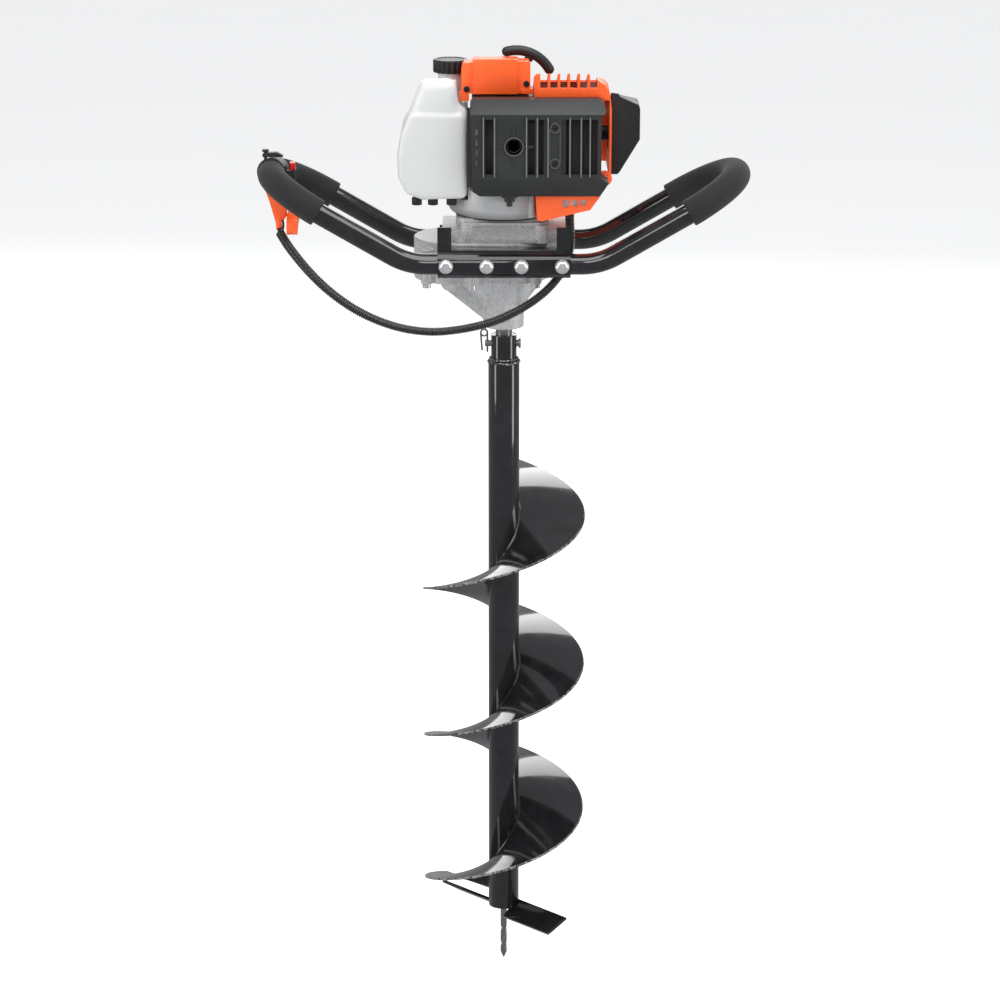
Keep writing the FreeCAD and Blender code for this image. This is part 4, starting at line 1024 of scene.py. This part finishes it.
castPiece("gearboxLowerCase", "gearbox_lower_case", "castAluminium")
castPiece("gearboxUpperCase", "gearbox_upper_case", "castAluminium")
edgedCopy("clutchHousing", "clutch_housing", "root", "castAluminium", 0.0012, 3)
edgedCopy("fanCase", "fan_case", "root", "blastedAluminium", 0.0014, 3)
edgedCopy("crankcaseShell", "crankcase", "root", "castAluminium", 0.0012, 2)
screwNodes = buildCaseScrews()

# painted shade: a black rubber ring under the fan bowl stands in for the shadow gap where the bowl meets its
# flange
shadowGapRing = {"radius": 0.0585, "low": 0.9062, "high": 0.9084}


def buildShadowGapRing():
    outer = shadowGapRing["radius"]
    rows = [(outer - 0.006, shadowGapRing["low"]), (outer, shadowGapRing["low"]), (outer + 0.0012, shadowGapRing["high"]),
            (outer - 0.006, shadowGapRing["high"])]
    shape = lathe(rows, sides=96, hollow=True)
    dress(settle(newObject("bowlShadowGapRing", toMesh(shape, "bowlShadowGapRing"))), "root", "blackRubber")


buildShadowGapRing()
print("castings made")

# ---- engine covers ----
edgedCopy("mufflerGuard", "muffler_cover", "root", "greyShell", 0.0009, 3)
edgedCopy("cylinderCover", "cylinder_cover", "root", "orangeShell", 0.0012, 3)
edgedCopy("lowerDuct", "lower_duct", "root", "orangeShell", 0.0010, 3)
edgedCopy("plugCover", "plug_cover", "root", "blackShell", 0.0030, 4)
edgedCopy("finnedCylinder", "cylinder", "root", "castAluminium", 0.0004, 1)
edgedCopy("mufflerBox", "muffler", "root", "scorchedSteel", 0.0008, 2)
buildCoverScrews(screwNodes)

# raised marks on the guard: the exhaust ring with its four arms, screw rings, bevel tabs and the foot bolt
trim = {"hole": (0.0114, 1.0026), "ringIn": 0.0096, "ringOut": 0.0118, "height": 0.0011, "armEnd": 0.0225,
        "armHalf": 0.0016, "bosses": [(0.059, 0.983), (0.059, 1.0245)], "bossOut": 0.0066, "railHalf": 0.0066,
        "foot": (0.0065, -0.075), "footTop": 0.942}


def buildGuardTrim():
    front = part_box("muffler_cover")[0].y
    x, z = trim["hole"]
    lift = trim["height"]
    shapes = []
    for centre, inner, outer in [(trim["hole"], trim["ringIn"], trim["ringOut"])] + [
            (boss, 0.0040, trim["bossOut"]) for boss in trim["bosses"]]:
        rows = [(inner, -0.0004), (inner, lift * 0.8), (inner + 0.0004, lift), (outer - 0.0005, lift),
                (outer, lift * 0.4), (outer, -0.0004)]
        shapes.append(lathe(rows, (centre[0], front, centre[1]), (0, -1, 0), hollow=True))
    half = trim["armHalf"]
    near = trim["ringOut"] - 0.0008
    for quarter in range(4):
        turn = quarter * math.pi / 2
        corners = [(near, -half), (trim["armEnd"], -half), (trim["armEnd"], half), (near, half)]
        flat = [(x + a * math.cos(turn) - b * math.sin(turn), z + a * math.sin(turn) + b * math.cos(turn))
                for a, b in corners]
        shapes.append(slab(roundedOutline(flat, 0.0003, 2),
                           [(front - lift * 0.7, 0.0), (front + 0.0004, 0.0)], alongY))
    lowBoss, highBoss = trim["bosses"]
    for side in (-1, 1):
        rail = lowBoss[0] + side * (trim["railHalf"] - 0.0006)
        corners = [(rail - 0.0006, lowBoss[1]), (rail + 0.0006, lowBoss[1]), (rail + 0.0006, highBoss[1]),
                   (rail - 0.0006, highBoss[1])]
        shapes.append(slab(roundedOutline(corners, 0.0002, 2),
                           [(front - lift, 0.0), (front + 0.0004, 0.0)], alongY))
    top = trim["footTop"]
    foot = [(0.0095, top), (0.0095, top - 0.004), (0.0062, top - 0.0055), (0.0062, top - 0.009),
            (0.0036, top - 0.0095), (0.0036, top - 0.0142), (0.0030, top - 0.0148)]
    shapes.append(lathe(foot, (trim["foot"][0], trim["foot"][1], 0), sides=24))
    dress(settle(merged("guardTrim", shapes)), "root", "greyShell")


buildGuardTrim()

# upright fins standing on the guard's front
fins = {"places": [-0.024, -0.011, 0.026, 0.0385, 0.051, 0.0765, 0.0895, 0.0998], "middle": 1.002,
        "width": 0.0013, "height": 0.070, "reach": 0.0022}


def buildGuardFins():
    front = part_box("muffler_cover")[0].y
    inputs = {"width": fins["width"], "height": fins["height"], "reach": fins["reach"],
              "material": finishes["greyShell"][0]}
    tree, wires = newTree("uprightFins", inputs)
    base = wires["Geometry"]
    bar = base.node("GeometryNodeMeshCube", None, {
        "Size": vector(base, wires["width"], wires["reach"], wires["height"])})
    copies = base.node("GeometryNodeInstanceOnPoints", None, {"Points": base, "Instance": bar})
    closeTree(copies, wires["material"])
    cloud = bpy.data.meshes.new("finPlaces")
    depth = front - fins["reach"] / 2 + 0.0002
    cloud.from_pydata([(x, depth, fins["middle"]) for x in fins["places"]], [], [])
    dress(runTree("guardFins", tree, inputs, cloud), "root", "greyShell")


buildGuardFins()

# thin plates behind the guard: the heat shield at its open end and the flange beside the tank
shields = {  # finish, corners (x, z), depth
    "heatShield": ("scorchedSteel",
                   [(0.0765, 0.967), (0.1105, 0.967), (0.1105, 1.0365), (0.0765, 1.0365)], -0.0965),
    "sideFlange": ("greyShell",
                   [(-0.0432, 0.953), (-0.0365, 0.953), (-0.0365, 1.047), (-0.0432, 1.047)], -0.096)}


def buildShields():
    for pieceName, (finishName, corners, depth) in shields.items():
        shape = slab(roundedOutline(corners, 0.0015, 3), [(depth, 0.0), (depth + 0.0008, 0.0)], alongY)
        dress(settle(newObject(pieceName, toMesh(shape, pieceName))), "root", finishName)


buildShields()

tank = {"bulge": 0.0028, "corner": 0.011, "edge": 0.012, "voxel": 0.0016, "smooth": 9,
        "outline": [(-0.043, 0.936), (-0.047, 0.932), (-0.097, 0.9305), (-0.116, 0.938), (-0.1255, 0.958),
                    (-0.126, 0.984), (-0.121, 1.010), (-0.096, 1.073), (-0.057, 1.074), (-0.053, 1.043),
                    (-0.043, 1.036)],
        "front": [(-0.0435, 0.936), (-0.048, 0.9325), (-0.097, 0.931), (-0.116, 0.9385), (-0.125, 0.958),
                  (-0.1255, 0.984), (-0.1215, 1.008), (-0.1105, 1.036), (-0.0435, 1.034)]}


def buildTank():
    low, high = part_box("fuel_tank")
    body = slab(roundedOutline(tank["outline"], tank["corner"]),
                roundedEnds(low.y + tank["bulge"], high.y, tank["edge"], 6), alongY)
    panel = slab(roundedOutline(tank["front"], 0.010),
                 roundedEnds(low.y, low.y + 0.03, 0.006, 5, 0.010), alongY)
    for v in body.verts:  # the top falls away to the back
        fall = max(0.0, v.co.y + 0.03) * 0.31
        v.co.z = min(v.co.z, max(1.0, high.z - 0.0045 - fall)) if v.co.z > 1.03 else v.co.z
    neck = lathe([(0.0155, 1.045), (0.0155, 1.0778), (0.0148, 1.0785)], centre=(-0.0635, 0.026, 0))
    seam = slab(roundedOutline(tank["outline"], tank["corner"]),
                [(-0.0042, 0.0005), (-0.0034, -0.0004), (-0.0026, -0.0004), (-0.0018, 0.0005)], alongY)
    for v in seam.verts:
        fall = max(0.0, v.co.y + 0.03) * 0.31
        v.co.z = min(v.co.z, high.z - 0.0042 - fall) if v.co.z > 1.03 else v.co.z
    piece = merged("fuelTank", [body, panel, neck, seam])
    modify(piece, "REMESH", mode="VOXEL", voxel_size=tank["voxel"], use_smooth_shade=True)
    modify(piece, "SMOOTH", factor=0.5, iterations=tank["smooth"])
    dress(settle(piece, 60), "root", "tankShell", "fuel_tank")


cap = {"ribs": 18, "ribDepth": 0.0016, "round": 0.0016, "sides": 180}


def buildCap():
    low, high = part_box("fuel_cap")
    centre = ((low.x + high.x) / 2, (low.y + high.y) / 2, 0)
    radius = (high.x - low.x) / 2
    r = cap["round"]

    def ribbed(rowRadius, height, angle):
        if rowRadius < radius * 0.9 or height > high.z - 0.0002:
            return rowRadius
        wave = 0.5 + 0.5 * math.cos(cap["ribs"] * angle)
        return rowRadius - cap["ribDepth"] * (1 - wave) ** 2.2

    rows = [(radius * 0.8, low.z), (radius - 0.0008, low.z), (radius, low.z + 0.0008)]
    rows += [(radius, high.z - r)]
    rows += [(radius - r * (1 - math.cos(a)), high.z - r + r * math.sin(a)) for a in (0.4, 0.8, 1.2, 1.57)]
    rows += [(radius * 0.80, high.z), (radius * 0.77, high.z - 0.0007), (radius * 0.2, high.z - 0.0007)]
    shape = lathe(rows, centre, sides=cap["sides"], wave=ribbed)
    dress(settle(newObject("fuelCap", toMesh(shape, "fuelCap")), 45), "cap", "blackShell", "fuel_cap")


starter = {"edge": 0.0022, "segments": 3}


def buildStarter():
    piece = newObject("starterHousing", toMesh(copyOf("starter_housing"), "starterHousing"))
    softEdges(piece, starter["edge"], starter["segments"])
    dress(settle(piece, 40), "root", "orangeShell", "starter_housing")


buildTank()
buildCap()
buildStarter()
edgedCopy("pullHandle", "pull_handle", "pull", "blackShell", 0.0008, 2)
print("engine covers made")

# ---- throttle control ----
split = {"level": 0.9315, "edge": 0.0012, "halves": [  # piece, finish, above the level
    ("throttleCollar", "blackShell", True), ("throttleSkirt", "orangeShell", False)]}


def buildThrottleHousing():
    # dark collar above the split level, orange skirt below it
    for pieceName, finishName, above in split["halves"]:
        shape = copyOf("throttle_housing")
        everything = shape.verts[:] + shape.edges[:] + shape.faces[:]
        made = bmesh.ops.bisect_plane(
            shape, geom=everything, plane_co=(0, 0, split["level"]), plane_no=(0, 0, 1),
            clear_inner=above, clear_outer=not above)
        rim = [item for item in made["geom_cut"] if isinstance(item, bmesh.types.BMEdge)]
        bmesh.ops.triangle_fill(shape, edges=rim, use_beauty=True)
        bmesh.ops.recalc_face_normals(shape, faces=shape.faces)
        piece = newObject(pieceName, toMesh(shape, pieceName))
        softEdges(piece, split["edge"], 3)
        dress(settle(piece, 40), "root", finishName, "throttle_housing")


buildThrottleHousing()
edgedCopy("throttleTrigger", "throttle_trigger", "trigger", "orangeShell", 0.0016, 3)
edgedCopy("switchBox", "switch_box", "root", "blackShell", 0.0009, 3)
edgedCopy("stopSwitch", "kill_switch", "switch", "redRocker", 0.0012, 3)
edgedCopy("throttleLock", "throttle_lock", "lock", "greyShell", 0.0010, 3)

# ---- carburettor side ----
for pieceName, nodeName, body, look, width in (
        ("carburettorBody", "carburettor", "root", "blastedAluminium", 0.0012),
        ("filterCase", "air_filter_case", "root", "blackShell", 0.0014),
        ("filterCover", "air_filter_cover", "root", "blackShell", 0.0022),
        ("chokeLever", "choke_lever", "choke", "blackShell", 0.0009),
        ("carburettorLever", "carburettor_lever", "carb_lever", "brightZinc", 0.0004),
        ("sparkPlug", "spark_plug", "root", "porcelain", 0.0004),
        ("plugBoot", "plug_boot", "root", "blackRubber", 0.0012),
        ("tankFeet", "tank_feet", "root", "blackRubber", 0.0008),
        ("primerBulb", "primer_bulb", "primer", "blackRubber", 0.0006)):
    edgedCopy(pieceName, nodeName, body, look, width)
print("carburettor side made")

# ---- inner parts keep their CAD shape and take a finish ----
inner = {
    "output_gear": "turnedSteel", "counter_shaft": "turnedSteel", "counter_gear": "turnedSteel",
    "clutch_drum": "turnedSteel", "clutch_shoe_right": "turnedSteel", "clutch_shoe_left": "turnedSteel",
    "gearbox_bearings": "turnedSteel", "output_seal": "blackRubber", "flywheel": "blastedAluminium",
    "crankshaft": "turnedSteel", "connecting_rod": "turnedSteel", "piston": "blastedAluminium",
    "air_filter_element": "filterFoam", "fuel_cap_seal": "blackRubber", "starter_pulley": "blackShell"}
for nodeName, finishName in inner.items():
    data = nodes[nodeName].data
    data.materials.clear()
    data.materials.append(finishes[finishName][0])


def buildStarterRope():
    piece = newObject("starterRope", toMesh(copyOf("starter_rope"), "starterRope"))
    settle(piece)
    material, slot = finishes["starterCord"]
    piece.data.materials.clear()
    piece.data.materials.append(material)
    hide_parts("starter_rope")
    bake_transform(piece)


buildStarterRope()

# ---- floor ----
floor = {"size": 60.0, "dark": (0.86, 0.865, 0.87), "light": (0.90, 0.90, 0.90), "glow": 0.56}


def buildFloor():
    half = floor["size"] / 2
    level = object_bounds()[0][2] - 0.0005
    mesh = bpy.data.meshes.new("studioFloor")
    mesh.from_pydata([(-half, -half, level), (half, -half, level), (half, half, level), (-half, half, level)],
                     [], [(0, 1, 2, 3)])
    plane = newObject("studioFloor", mesh)
    plane.visible_glossy = False
    material = bpy.data.materials.new("paleFloor")
    material.use_nodes = True
    material.node_tree.nodes.clear()
    place = Wire(material.node_tree).node("ShaderNodeTexCoord", out="Object")
    shader = place.node("ShaderNodeBsdfPrincipled", None, {
        "Base Color": noise(place, 3, 2).tint(floor["dark"], floor["light"]), "Roughness": 0.9,
        "Emission Color": (1.0, 1.0, 1.0, 1.0), "Emission Strength": floor["glow"]})
    place.node("ShaderNodeOutputMaterial", None, {"Surface": shader})
    mesh.materials.append(material)


buildFloor()
print("floor laid")
